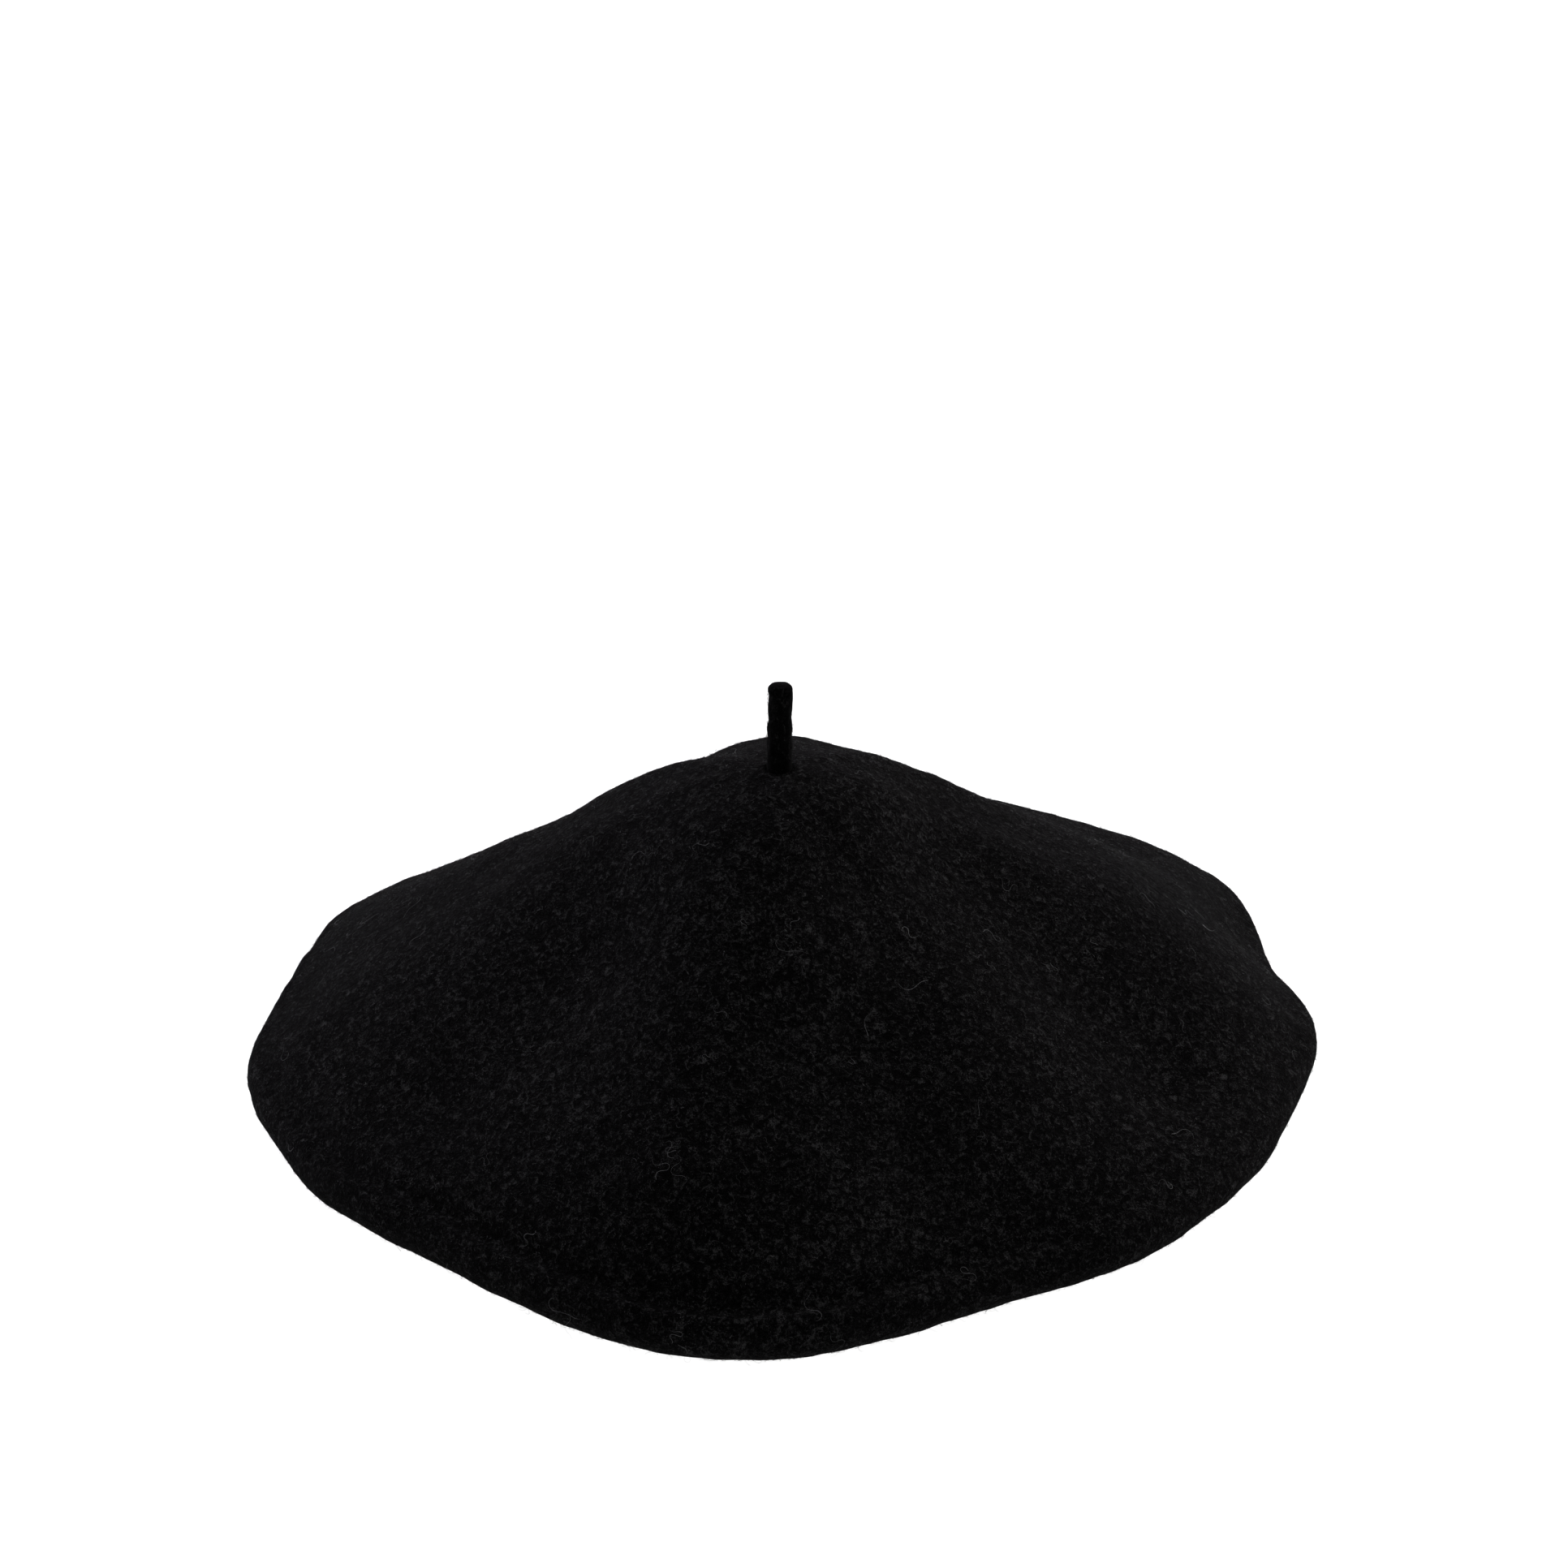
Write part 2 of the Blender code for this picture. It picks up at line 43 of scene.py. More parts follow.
# ------------------------------------------------------------------ shape
# the same dimensions as the CAD part, in millimetres and degrees
CROWN_TOP = 88.0
RIM_RADIUS = 114.4
RIM_HEIGHT = 12.0
ROLL_RADIUS = 6.5
ROLL_START = 62.0
ROLL_END = -100.0
FELT = 2.3
APEX_X, APEX_Y = 0.85, -4.22
LEAN_X, LEAN_Y, LEAN_END = -1.6, -3.2, 0.34
ROOT_X, ROOT_Y = APEX_X + LEAN_X, APEX_Y + LEAN_Y
OPENING_AX, OPENING_AY = 82.0, 86.0
REST_RING = 9.0

PROFILE = (
    (0.00, 1.000), (0.08, 0.982), (0.18, 0.925), (0.32, 0.800),
    (0.48, 0.622), (0.64, 0.446), (0.80, 0.266), (0.92, 0.111), (1.00, 0.0),
)
RIM_LOBES = (
    ("right_tip", 2, 12, 5.0, 2.5),
    ("right_corner", -36, 14, -2.6, 0.5),
    ("right_inset", -14, 11, 0.0, 2.5),
    ("front_right_straight", -64, 20, -11.8, -1.5),
    ("front_lobe", -97, 20, -3.4, -3.2),
    ("front_left_straight", -117, 11, -2.6, 0.0),
    ("left_corner", -134, 14, -5.0, 0.5),
    ("left_front_inset", -157, 12, 1.2, -1.5),
    ("left_tip", -177, 12, 6.8, -1.5),
    ("left_inset", 165, 11, 1.0, 1.5),
    ("left_shoulder", 150, 12, 6.0, 0.0),
    ("back_left_inset", 131, 12, -9.0, -4.0),
    ("back_lobe", 88, 16, 3.8, 1.5),
    ("back_right_inset", 62, 16, -2.0, -1.0),
    ("right_shoulder", 35, 14, 11.5, 1.0),
    ("right_back_inset", 19, 11, 0.2, -1.5),
)
FOLDS = (
    ("right_valley", 36, -10, 104, -49, 19, -8.5),
    ("right_lip", 77, 22, 120, 44, 17, 4.5),
    ("front_right_slack", 17, -25, 87, -75, 14, -2.0),
    ("middle_ridge", -15, -21, -26, -94, 17, 3.5),
    ("front_valley", 10, -63, 37, -99, 15, -2.5),
    ("left_valley", -44, -34, -90, -58, 17, -5.0),
    ("front_left_slack", -43, -60, -85, -80, 13, -1.5),
    ("back_left_dip", -50, 34, -98, 56, 13, -3.0),
    ("back_right_dip", 28, 37, 75, 50, 15, -5.0),
    ("back_dip", -4, 43, -3, 98, 13, -6.0),
)
STEM_ROOT_R, STEM_TOP_R, STEM_LENGTH = 2.85, 2.55, 20.6
PIVOT_Z = 88.277
BAND_THICK, BAND_LOW, BAND_HIGH, BAND_OFF = 1.1, 0.4, 21.5, 0.35
LINING_OFF, SATIN = FELT + 1.1, 0.5
LABEL_TOP = 18.0


def ease(a, b, x):
    t = np.clip((x - a) / (b - a), 0.0, 1.0)
    return t * t * (3.0 - 2.0 * t)


def make_profile(stations):
    xs = np.array([s[0] for s in stations])
    ys = np.array([s[1] for s in stations])
    h = np.diff(xs)
    d = np.diff(ys) / h
    m = np.zeros(len(xs))
    for i in range(1, len(xs) - 1):
        if d[i - 1] * d[i] > 0:
            w1, w2 = 2 * h[i] + h[i - 1], h[i] + 2 * h[i - 1]
            m[i] = (w1 + w2) / (w1 / d[i - 1] + w2 / d[i])
    m[-1] = d[-1]

    def value(x):
        x = np.clip(x, xs[0], xs[-1])
        i = np.clip(np.searchsorted(xs, x, side="right") - 1, 0, len(h) - 1)
        t = (x - xs[i]) / h[i]
        return ((1 + 2 * t) * (1 - t) ** 2 * ys[i] + t * (1 - t) ** 2 * h[i] * m[i]
                + t * t * (3 - 2 * t) * ys[i + 1] + t * t * (t - 1) * h[i] * m[i + 1])
    return value


profile = make_profile(PROFILE)


def wrap(a):
    return (a + 180.0) % 360.0 - 180.0


def rim(az):
    r = np.full(np.shape(az), RIM_RADIUS, dtype=float)
    z = np.full(np.shape(az), RIM_HEIGHT, dtype=float)
    for _, a, w, reach, lift in RIM_LOBES:
        g = np.exp(-(wrap(az - a) / w) ** 2)
        r = r + reach * g
        z = z + lift * g
    return r, z


def fold_height(x, y):
    total = 0.0
    for _, ax, ay, bx, by, w, h in FOLDS:
        ux, uy = bx - ax, by - ay
        length = hypot(ux, uy)
        ux, uy = ux / length, uy / length
        s = (x - ax) * ux + (y - ay) * uy
        t = -(x - ax) * uy + (y - ay) * ux
        over = np.maximum(0.0, np.maximum(-s, s - length))
        total = total + h * np.exp(-(t / w) ** 2 - (over / (0.9 * w)) ** 2)
    return total


def opening_radius(az):
    a = np.radians(az)
    return 1.0 / np.sqrt((np.cos(a) / OPENING_AX) ** 2 + (np.sin(a) / OPENING_AY) ** 2)


def felt_outer(v, az):
    """v and az are arrays of one shape; returns points (..., 3) in mm."""
    v = np.asarray(v, dtype=float)
    az = np.asarray(az, dtype=float)
    v, az = np.broadcast_arrays(v, az)
    a = np.radians(az)
    ca, sa = np.cos(a), np.sin(a)
    radius, height = rim(az)
    rc = radius - ROLL_RADIUS
    t0, t1 = radians(ROLL_START), radians(ROLL_END)
    rj = rc + ROLL_RADIUS * cos(t0)
    zj = height + ROLL_RADIUS * sin(t0)
    q = np.clip(v, 0.0, 1.0)
    r = rj * q
    fade = ease(0.05, 0.35, q) * (1.0 - ease(0.80, 1.0, q))
    z = zj + (CROWN_TOP - zj) * profile(q) + fold_height(r * ca, r * sa) * fade
    lean = 1.0 - ease(0.0, LEAN_END, q)
    slope = np.stack([r * ca + APEX_X + LEAN_X * lean, r * sa + APEX_Y + LEAN_Y * lean, z], -1)
    t = t0 + (np.clip(v, 1.0, 2.0) - 1.0) * (t1 - t0)
    rr = rc + ROLL_RADIUS * np.cos(t)
    roll = np.stack([rr * ca + APEX_X, rr * sa + APEX_Y, height + ROLL_RADIUS * np.sin(t)], -1)
    re = opening_radius(az)
    zero = np.zeros_like(re)
    ring = np.stack([(re + REST_RING) * ca, (re + REST_RING) * sa, zero], -1)
    edge = np.stack([re * ca, re * sa, zero], -1)
    r1 = rc + ROLL_RADIUS * cos(t1)
    start = np.stack([r1 * ca + APEX_X, r1 * sa + APEX_Y, height + ROLL_RADIUS * sin(t1)], -1)
    s = np.clip(v - 2.0, 0.0, 1.0)
    k = np.clip(s / 0.5, 0.0, 1.0)[..., None]
    under1 = start + (ring - start) * k
    under1[..., 2] = start[..., 2] * (1.0 - ease(0.0, 1.0, k[..., 0]))
    k2 = np.clip((s - 0.5) / 0.5, 0.0, 1.0)[..., None]
    under2 = ring + (edge - ring) * k2
    out = np.where((v <= 1.0)[..., None], slope, roll)
    out = np.where((v > 2.0)[..., None], under1, out)
    out = np.where((v > 2.5)[..., None], under2, out)
    return out


def felt_normal(v, az):
    dv, da = 0.004, 0.25
    v = np.asarray(v, dtype=float)
    v, az = np.broadcast_arrays(v, np.asarray(az, dtype=float))
    pv = felt_outer(np.minimum(3.0, v + dv), az) - felt_outer(np.maximum(0.0005, v - dv), az)
    pa = felt_outer(v, az + da) - felt_outer(v, az - da)
    n = np.cross(pv, pa)
    ln = np.linalg.norm(n, axis=-1, keepdims=True)
    n = n / np.maximum(ln, 1e-12)
    up = np.zeros_like(n)
    up[..., 2] = 1.0
    k = (1.0 - ease(0.0, 0.12, v))[..., None]
    n = n * (1 - k) + up * k
    return n / np.linalg.norm(n, axis=-1, keepdims=True)


# ------------------------------------------------------------------ noise
def lattice_noise(p, size, seed):
    """Smooth random field over points p (mm), features about size mm wide, -1..1."""
    q = np.asarray(p) / size
    base = np.floor(q).astype(np.int64)
    f = q - base
    f = f * f * f * (f * (f * 6 - 15) + 10)
    total = 0.0
    for dx in (0, 1):
        for dy in (0, 1):
            for dz in (0, 1):
                h = ((base[..., 0] + dx) * 73856093) ^ ((base[..., 1] + dy) * 19349663) ^ \
                    ((base[..., 2] + dz) * 83492791) ^ (seed * 2654435761)
                h = (h ^ (h >> 13)) * 1274126177
                h = (h ^ (h >> 16)) & 0xFFFFFF
                val = h / float(0xFFFFFF) * 2.0 - 1.0
                wx = f[..., 0] if dx else 1 - f[..., 0]
                wy = f[..., 1] if dy else 1 - f[..., 1]
                wz = f[..., 2] if dz else 1 - f[..., 2]
                total = total + val * wx * wy * wz
    return total


# ------------------------------------------------------------------ meshes
def mesh_object(name, verts, faces, mat=None, smooth=True, sharp=None):
    mesh = bpy.data.meshes.new(name)
    mesh.from_pydata((np.asarray(verts) * MM).tolist(), [], [tuple(int(i) for i in f) for f in faces])
    mesh.update()
    mesh.polygons.foreach_set("use_smooth", [smooth] * len(mesh.polygons))
    if sharp:
        mesh.set_sharp_from_angle(angle=radians(sharp))
    obj = bpy.data.objects.new(name, mesh)
    bpy.context.scene.collection.objects.link(obj)
    if mat:
        mesh.materials.append(mat)
    return obj


def fast_mesh(name, verts, quads, mat):
    """Large mesh of quads from arrays."""
    verts = np.asarray(verts, dtype=np.float32) * MM
    quads = np.asarray(quads, dtype=np.int32)
    mesh = bpy.data.meshes.new(name)
    mesh.vertices.add(len(verts))
    mesh.vertices.foreach_set("co", verts.ravel())
    k = quads.shape[1]
    mesh.loops.add(quads.size)
    mesh.loops.foreach_set("vertex_index", quads.ravel())
    mesh.polygons.add(len(quads))
    mesh.polygons.foreach_set("loop_start", np.arange(len(quads), dtype=np.int32) * k)
    mesh.polygons.foreach_set("use_smooth", np.ones(len(quads), dtype=bool))
    mesh.update(calc_edges=True)
    mesh.validate()
    obj = bpy.data.objects.new(name, mesh)
    bpy.context.scene.collection.objects.link(obj)
    if mat:
        mesh.materials.append(mat)
    return obj


def rings_object(name, rings, mat, start=None, end=None, loop=False):
    """Closed body from rings of points (rows, count, 3)."""
    rings = np.asarray(rings, dtype=float)
    rows, count = rings.shape[:2]
    verts = rings.reshape(-1, 3).tolist()
    faces = []
    last = rows if loop else rows - 1
    for i in range(last):
        a, b = i * count, ((i + 1) % rows) * count
        for j in range(count):
            k = (j + 1) % count
            faces.append((a + j, a + k, b + k, b + j))
    if start is not None:
        verts.append(list(start))
        n = len(verts) - 1
        for j in range(count):
            faces.append((n, (j + 1) % count, j))
    if end is not None:
        verts.append(list(end))
        n = len(verts) - 1
        base = (rows - 1) * count
        for j in range(count):
            faces.append((n, base + j, base + (j + 1) % count))
    obj = mesh_object(name, verts, faces, mat)
    bm = bmesh.new()
    bm.from_mesh(obj.data)
    bmesh.ops.recalc_face_normals(bm, faces=bm.faces[:])
    if bm.calc_volume(signed=True) < 0:
        bmesh.ops.reverse_faces(bm, faces=bm.faces[:])
    bm.to_mesh(obj.data)
    bm.free()
    for p in obj.data.polygons:
        p.use_smooth = True
    return obj


# --------------------------------------------------------------- materials
class Nodes:
    """Small helper that builds a procedural material."""

    def __init__(self, name):
        self.mat = bpy.data.materials.new(name)
        self.mat.use_nodes = True
        self.tree = self.mat.node_tree
        self.bsdf = self.tree.nodes["Principled BSDF"]
        coord = self.tree.nodes.new("ShaderNodeTexCoord")
        self.co = coord.outputs["Object"]

    def node(self, kind, **props):
        n = self.tree.nodes.new(kind)
        for k, v in props.items():
            setattr(n, k, v)
        return n

    def link(self, a, b):
        self.tree.links.new(a, b)

    def scaled(self, x, y, z, rot=(0, 0, 0)):
        m = self.node("ShaderNodeMapping")
        m.inputs["Scale"].default_value = (x, y, z)
        m.inputs["Rotation"].default_value = rot
        self.link(self.co, m.inputs["Vector"])
        return m.outputs["Vector"]

    def noise(self, scale, detail=4.0, rough=0.6, vector=None, distortion=0.0):
        n = self.node("ShaderNodeTexNoise")
        n.inputs["Scale"].default_value = scale
        n.inputs["Detail"].default_value = detail
        n.inputs["Roughness"].default_value = rough
        n.inputs["Distortion"].default_value = distortion
        self.link(vector or self.co, n.inputs["Vector"])
        return n.outputs["Fac"]

    def voronoi(self, scale, feature="F1", vector=None):
        n = self.node("ShaderNodeTexVoronoi", feature=feature)
        n.inputs["Scale"].default_value = scale
        self.link(vector or self.co, n.inputs["Vector"])
        return n.outputs["Distance"]

    def wave(self, scale, direction="X", vector=None, distortion=0.0, profile="SIN"):
        n = self.node("ShaderNodeTexWave", bands_direction=direction, wave_profile=profile)
        n.inputs["Scale"].default_value = scale
        n.inputs["Distortion"].default_value = distortion
        self.link(vector or self.co, n.inputs["Vector"])
        return n.outputs["Fac"]

    def ramp(self, fac, stops):
        n = self.node("ShaderNodeValToRGB")
        els = n.color_ramp.elements
        while len(els) > 1:
            els.remove(els[-1])
        els[0].position, els[0].color = stops[0][0], (*stops[0][1], 1)
        for pos, col in stops[1:]:
            e = els.new(pos)
            e.color = (*col, 1)
        self.link(fac, n.inputs["Fac"])
        return n.outputs["Color"]

    def math(self, op, a, b=None, clamp=False):
        n = self.node("ShaderNodeMath", operation=op, use_clamp=clamp)
        for i, x in enumerate((a, b)):
            if x is None:
                continue
            if isinstance(x, (int, float)):
                n.inputs[i].default_value = x
            else:
                self.link(x, n.inputs[i])
        return n.outputs[0]

    def range(self, fac, lo, hi):
        n = self.node("ShaderNodeMapRange")
        n.inputs["To Min"].default_value = lo
        n.inputs["To Max"].default_value = hi
        self.link(fac, n.inputs["Value"])
        return n.outputs["Result"]

    def bump(self, height, strength, distance, normal=None):
        n = self.node("ShaderNodeBump")
        n.inputs["Strength"].default_value = strength
        n.inputs["Distance"].default_value = distance
        self.link(height, n.inputs["Height"])
        if normal is not None:
            self.link(normal, n.inputs["Normal"])
        return n.outputs["Normal"]

    def set(self, **values):
        for k, v in values.items():
            self.bsdf.inputs[k.replace("_", " ")].default_value = v

    def to(self, socket, out):
        self.link(out, self.bsdf.inputs[socket])


def wool_felt():
    n = Nodes("wool_felt_look")
    tangle = n.noise(1700.0, 4.0, 0.85, distortion=1.6)       # fine tangled nap
    clump = n.noise(620.0, 4.0, 0.62, distortion=1.0)         # small clumps of fibre
    cloud = n.noise(30.0, 3.0, 0.5)                           # uneven felting
    streak = n.noise(1300.0, 3.0, 0.7, vector=n.scaled(1.0, 1.0, 0.4, (0.5, 0.3, 0.2)),
                     distortion=2.6)
    mix = n.math("ADD", n.math("MULTIPLY", tangle, 0.55), n.math("MULTIPLY", clump, 0.45))
    mix = n.math("ADD", n.math("MULTIPLY", mix, 0.8), n.math("MULTIPLY", streak, 0.2))
    both = n.math("ADD", n.math("MULTIPLY", mix, 0.96), n.math("MULTIPLY", cloud, 0.04))
    col = n.ramp(both, [(0.42, (0.0, 0.0, 0.0)), (0.487, (0.0002, 0.0002, 0.00021)),
                        (0.53, (0.0034, 0.0034, 0.0035)), (0.585, (0.026, 0.026, 0.0265))])
    n.to("Base Color", col)
    n.to("Roughness", n.range(clump, 0.88, 1.0))
    n.set(Sheen_Weight=0.018, Sheen_Roughness=0.28, Specular_IOR_Level=0.01, IOR=1.4)
    n.bsdf.inputs["Sheen Tint"].default_value = (0.92, 0.91, 0.94, 1.0)
    first = n.bump(clump, 0.8, 0.0016)
    second = n.bump(mix, 1.0, 0.0012, first)
    n.to("Normal", second)
    return n.mat


def stem_felt():
    n = Nodes("stem_felt_look")
    tangle = n.noise(1100.0, 5.0, 0.7, vector=n.scaled(1.0, 1.0, 0.5), distortion=1.0)
    clump = n.noise(320.0, 3.0, 0.6)
    col = n.ramp(tangle, [(0.35, (0.0003, 0.0003, 0.0003)), (0.58, (0.0008, 0.0008, 0.0008)),
                          (0.70, (0.013, 0.013, 0.013))])
    n.to("Base Color", col)
    n.to("Roughness", n.range(clump, 0.85, 1.0))
    n.set(Sheen_Weight=0.008, Sheen_Roughness=0.4, Specular_IOR_Level=0.01)
    n.to("Normal", n.bump(tangle, 0.6, 0.0005, n.bump(clump, 0.5, 0.0008)))
    return n.mat


def fibre(name, low, high):
    n = Nodes(name)
    col = n.ramp(n.noise(170.0, 2.0, 0.5), [(0.35, low), (0.65, high)])
    n.to("Base Color", col)
    n.to("Roughness", n.range(n.noise(60.0, 1.0, 0.5), 0.6, 0.8))
    n.set(Specular_IOR_Level=0.05)
    return n.mat


def satin(name):
    n = Nodes(name)
    v = n.scaled(1.0, 1.0, 1.0, (0.0, 0.0, 0.6))
    weft = n.wave(2600.0, "X", vector=v, distortion=0.4)
    warp = n.wave(2200.0, "Y", vector=v, distortion=0.4)
    slub = n.noise(90.0, 3.0, 0.5)
    weave = n.math("MAXIMUM", weft, n.math("MULTIPLY", warp, 0.7))
    col = n.ramp(slub, [(0.3, (0.012, 0.012, 0.015)), (0.7, (0.021, 0.021, 0.026))])
    n.to("Base Color", col)
    n.to("Roughness", n.range(weave, 0.26, 0.42))
    n.set(Specular_IOR_Level=0.55, Sheen_Weight=0.05, Anisotropic=0.45)
    n.to("Normal", n.bump(weave, 0.25, 0.00008, n.bump(slub, 0.3, 0.0008)))
    return n.mat


def leather():
    n = Nodes("band_leather_look")
    cells = n.voronoi(900.0)
    fine = n.noise(1800.0, 4.0, 0.6)
    wear = n.noise(38.0, 4.0, 0.6)
    pits = n.voronoi(330.0)
    col = n.ramp(wear, [(0.3, (0.016, 0.012, 0.010)), (0.55, (0.026, 0.020, 0.017)),
                        (0.78, (0.050, 0.038, 0.031))])
    n.to("Base Color", col)
    n.to("Roughness", n.range(n.math("ADD", n.math("MULTIPLY", wear, 0.6),
                                     n.math("MULTIPLY", fine, 0.4)), 0.36, 0.62))
    n.set(Specular_IOR_Level=0.5, Coat_Weight=0.06, Coat_Roughness=0.4)
    grain = n.math("ADD", n.math("MULTIPLY", cells, 0.7), n.math("MULTIPLY", fine, 0.3))
    n.to("Normal", n.bump(grain, 0.45, 0.00035, n.bump(pits, 0.2, 0.0006)))
    return n.mat


def thread(name, dark, light):
    n = Nodes(name)
    twist = n.wave(1500.0, "DIAGONAL", distortion=0.6)
    fuzz = n.noise(2600.0, 3.0, 0.6)
    n.to("Base Color", n.ramp(twist, [(0.2, dark), (0.8, light)]))
    n.to("Roughness", n.range(fuzz, 0.5, 0.8))
    n.set(Sheen_Weight=0.15, Sheen_Roughness=0.4)
    n.to("Normal", n.bump(twist, 0.7, 0.0002, n.bump(fuzz, 0.3, 0.0001)))
    return n.mat


def woven(name, light, dark, scale):
    n = Nodes(name)
    flat = n.scaled(1.0, 1.0, 1.0)
    weft = n.wave(scale, "Z", vector=flat)
    warp = n.wave(scale * 0.8, "X", vector=flat)
    weave = n.math("MULTIPLY", weft, warp)
    soil = n.noise(70.0, 3.0, 0.55)
    mixed = n.math("ADD", n.math("MULTIPLY", weave, 0.6), n.math("MULTIPLY", soil, 0.4))
    n.to("Base Color", n.ramp(mixed, [(0.15, dark), (0.7, light)]))
    n.to("Roughness", n.range(weave, 0.6, 0.85))
    n.set(Sheen_Weight=0.1)
    n.to("Normal", n.bump(weave, 0.5, 0.00015))
    return n.mat


FELT_MAT = wool_felt()
STEM_MAT = stem_felt()
FIBRE_GREY = fibre("fibre_grey", (0.003, 0.003, 0.0031), (0.042, 0.042, 0.043))
FIBRE_DARK = fibre("fibre_dark", (0.0004, 0.0004, 0.00042), (0.0026, 0.0026, 0.0027))
FIBRE_MID = fibre("fibre_mid", (0.010, 0.010, 0.0105), (0.085, 0.084, 0.087))
FIBRE_PALE = fibre("fibre_pale", (0.05, 0.05, 0.052), (0.16, 0.16, 0.165))

BODY = "beret"


# -------------------------------------------------------------- felt body
AZ_N = 480


def surface_relief(p, v):
    """Soft unevenness of felted wool, in mm."""
    d = 0.30 * lattice_noise(p, 21.0, 3) + 0.26 * lattice_noise(p, 9.0, 5)
    d += 0.13 * lattice_noise(p, 4.2, 7) + 0.07 * lattice_noise(p, 2.1, 11)
    near_ring = 1.0 - ease(2.1, 2.5, v)
    near_root = ease(0.03, 0.09, v)
    # crease just above the roll, along the front
    az = np.degrees(np.arctan2(p[..., 1] - APEX_Y, p[..., 0] - APEX_X))
    front = np.exp(-(np.abs(az + 108.0) / 52.0) ** 4)
    crease = -1.7 * np.exp(-((v - 0.985) / 0.018) ** 2) * front
    return (d + crease) * (0.12 + 0.88 * near_ring) * near_root


def build_felt():
    az = 360.0 * np.arange(AZ_N) / AZ_N
    slope = 0.03 + (1.0 - 0.03) * (np.arange(132) / 131.0)
    roll = 1.0 + (np.arange(26) + 1) / 26.0
    under = 2.0 + (np.arange(20) + 1) / 20.0 * 0.97
    vs = np.concatenate([slope, roll, under])
    V, A = np.meshgrid(vs, az, indexing="ij")
    P = felt_outer(V, A)
    N = felt_normal(V, A)
    d = surface_relief(P, V)
    outer = P + N * d[..., None]
    outer[..., 2] = np.where(V > 2.0, np.maximum(outer[..., 2], 0.0), outer[..., 2])
    outer[..., 2] = np.maximum(outer[..., 2], 0.0)
    # small root collar where the stem grows out
    tops = []
    for r, dz in ((3.35, -0.05), (3.25, -0.6), (2.6, -2.2)):
        ring = np.stack([ROOT_X + r * np.cos(np.radians(az)), ROOT_Y + r * np.sin(np.radians(az)),
                         np.full(AZ_N, felt_outer(np.array(0.03), np.array(90.0))[2] + dz)], -1)
        tops.insert(0, ring)
    edge = []
    for inset, z in ((0.0, 0.5), (0.15, 1.15), (0.0, 1.8)):
        re = opening_radius(az) - inset
        edge.append(np.stack([re * np.cos(np.radians(az)), re * np.sin(np.radians(az)),
                              np.full(AZ_N, z)], -1))
    inner_v = np.array([2.95, 2.6, 2.3, 2.0, 1.8, 1.6, 1.4, 1.2, 1.0, 0.9, 0.8, 0.7, 0.6, 0.5, 0.4,
                        0.3, 0.2, 0.12])
    V2, A2 = np.meshgrid(inner_v, az, indexing="ij")
    inner = felt_outer(V2, A2) - felt_normal(V2, A2) * FELT
    rows = np.concatenate([np.array(tops), outer, np.array(edge), inner])
    apex_low = (ROOT_X, ROOT_Y, CROWN_TOP - FELT - 3.0)
    cup = (ROOT_X, ROOT_Y, rows[0, 0, 2] - 0.3)
    R, C = rows.shape[:2]
    verts = rows.reshape(-1, 3)
    i = np.arange(R - 1)[:, None] * C
    j = np.arange(C)[None, :]
    k = (j + 1) % C
    quads = np.stack([i + j, i + C + j, i + C + k, i + k], -1).reshape(-1, 4)
    obj = fast_mesh("felt_body_wool", verts, quads, FELT_MAT)
    bm = bmesh.new()
    bm.from_mesh(obj.data)
    bm.verts.ensure_lookup_table()
    a = bm.verts.new(Vector(cup) * MM)
    b = bm.verts.new(Vector(apex_low) * MM)
    bm.verts.ensure_lookup_table()
    for t in range(C):
        u = (t + 1) % C
        bm.faces.new((a, bm.verts[t], bm.verts[u]))
        bm.faces.new((b, bm.verts[(R - 1) * C + u], bm.verts[(R - 1) * C + t]))
    bmesh.ops.recalc_face_normals(bm, faces=bm.faces[:])
    if bm.calc_volume(signed=True) < 0:
        bmesh.ops.reverse_faces(bm, faces=bm.faces[:])
    for f in bm.faces:
        f.smooth = True
    bm.to_mesh(obj.data)
    bm.free()
    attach(obj, BODY)
    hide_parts("felt_body")
    return obj


felt = build_felt()


# ----------------------------------------------------------------- fibres
def fibre_mesh(name, paths, radius, mat):
    """paths (n, m, 3) in mm, radius (n,) in mm: three-sided tapering hairs."""
    n, m, _ = paths.shape
    tan_ = np.gradient(paths, axis=1)
    tan_ /= np.linalg.norm(tan_, axis=-1, keepdims=True) + 1e-12
    ref = np.zeros_like(tan_)
    ref[..., 0] = 0.37
    ref[..., 1] = 0.61
    ref[..., 2] = 0.7
    s = np.cross(tan_, ref)
    s /= np.linalg.norm(s, axis=-1, keepdims=True) + 1e-12
    u = np.cross(s, tan_)
    t = np.linspace(0, 1, m)
    taper = (1.0 - 0.75 * t ** 2)[None, :, None]
    rad = radius[:, None, None] * taper
    rings = []
    for k in range(3):
        a = 2 * pi * k / 3
        rings.append(paths + (s * cos(a) + u * sin(a)) * rad)
    V = np.stack(rings, 2)                       # n, m, 3 sides, 3
    verts = V.reshape(-1, 3)
    base = (np.arange(n) * m * 3)[:, None, None]
    i = (np.arange(m - 1) * 3)[None, :, None]
    k = np.arange(3)[None, None, :]
    k2 = (k + 1) % 3
    quads = np.stack([base + i + k, base + i + k2, base + i + 3 + k2, base + i + 3 + k],
                     -1).reshape(-1, 4)
    return fast_mesh(name, verts, quads, mat)


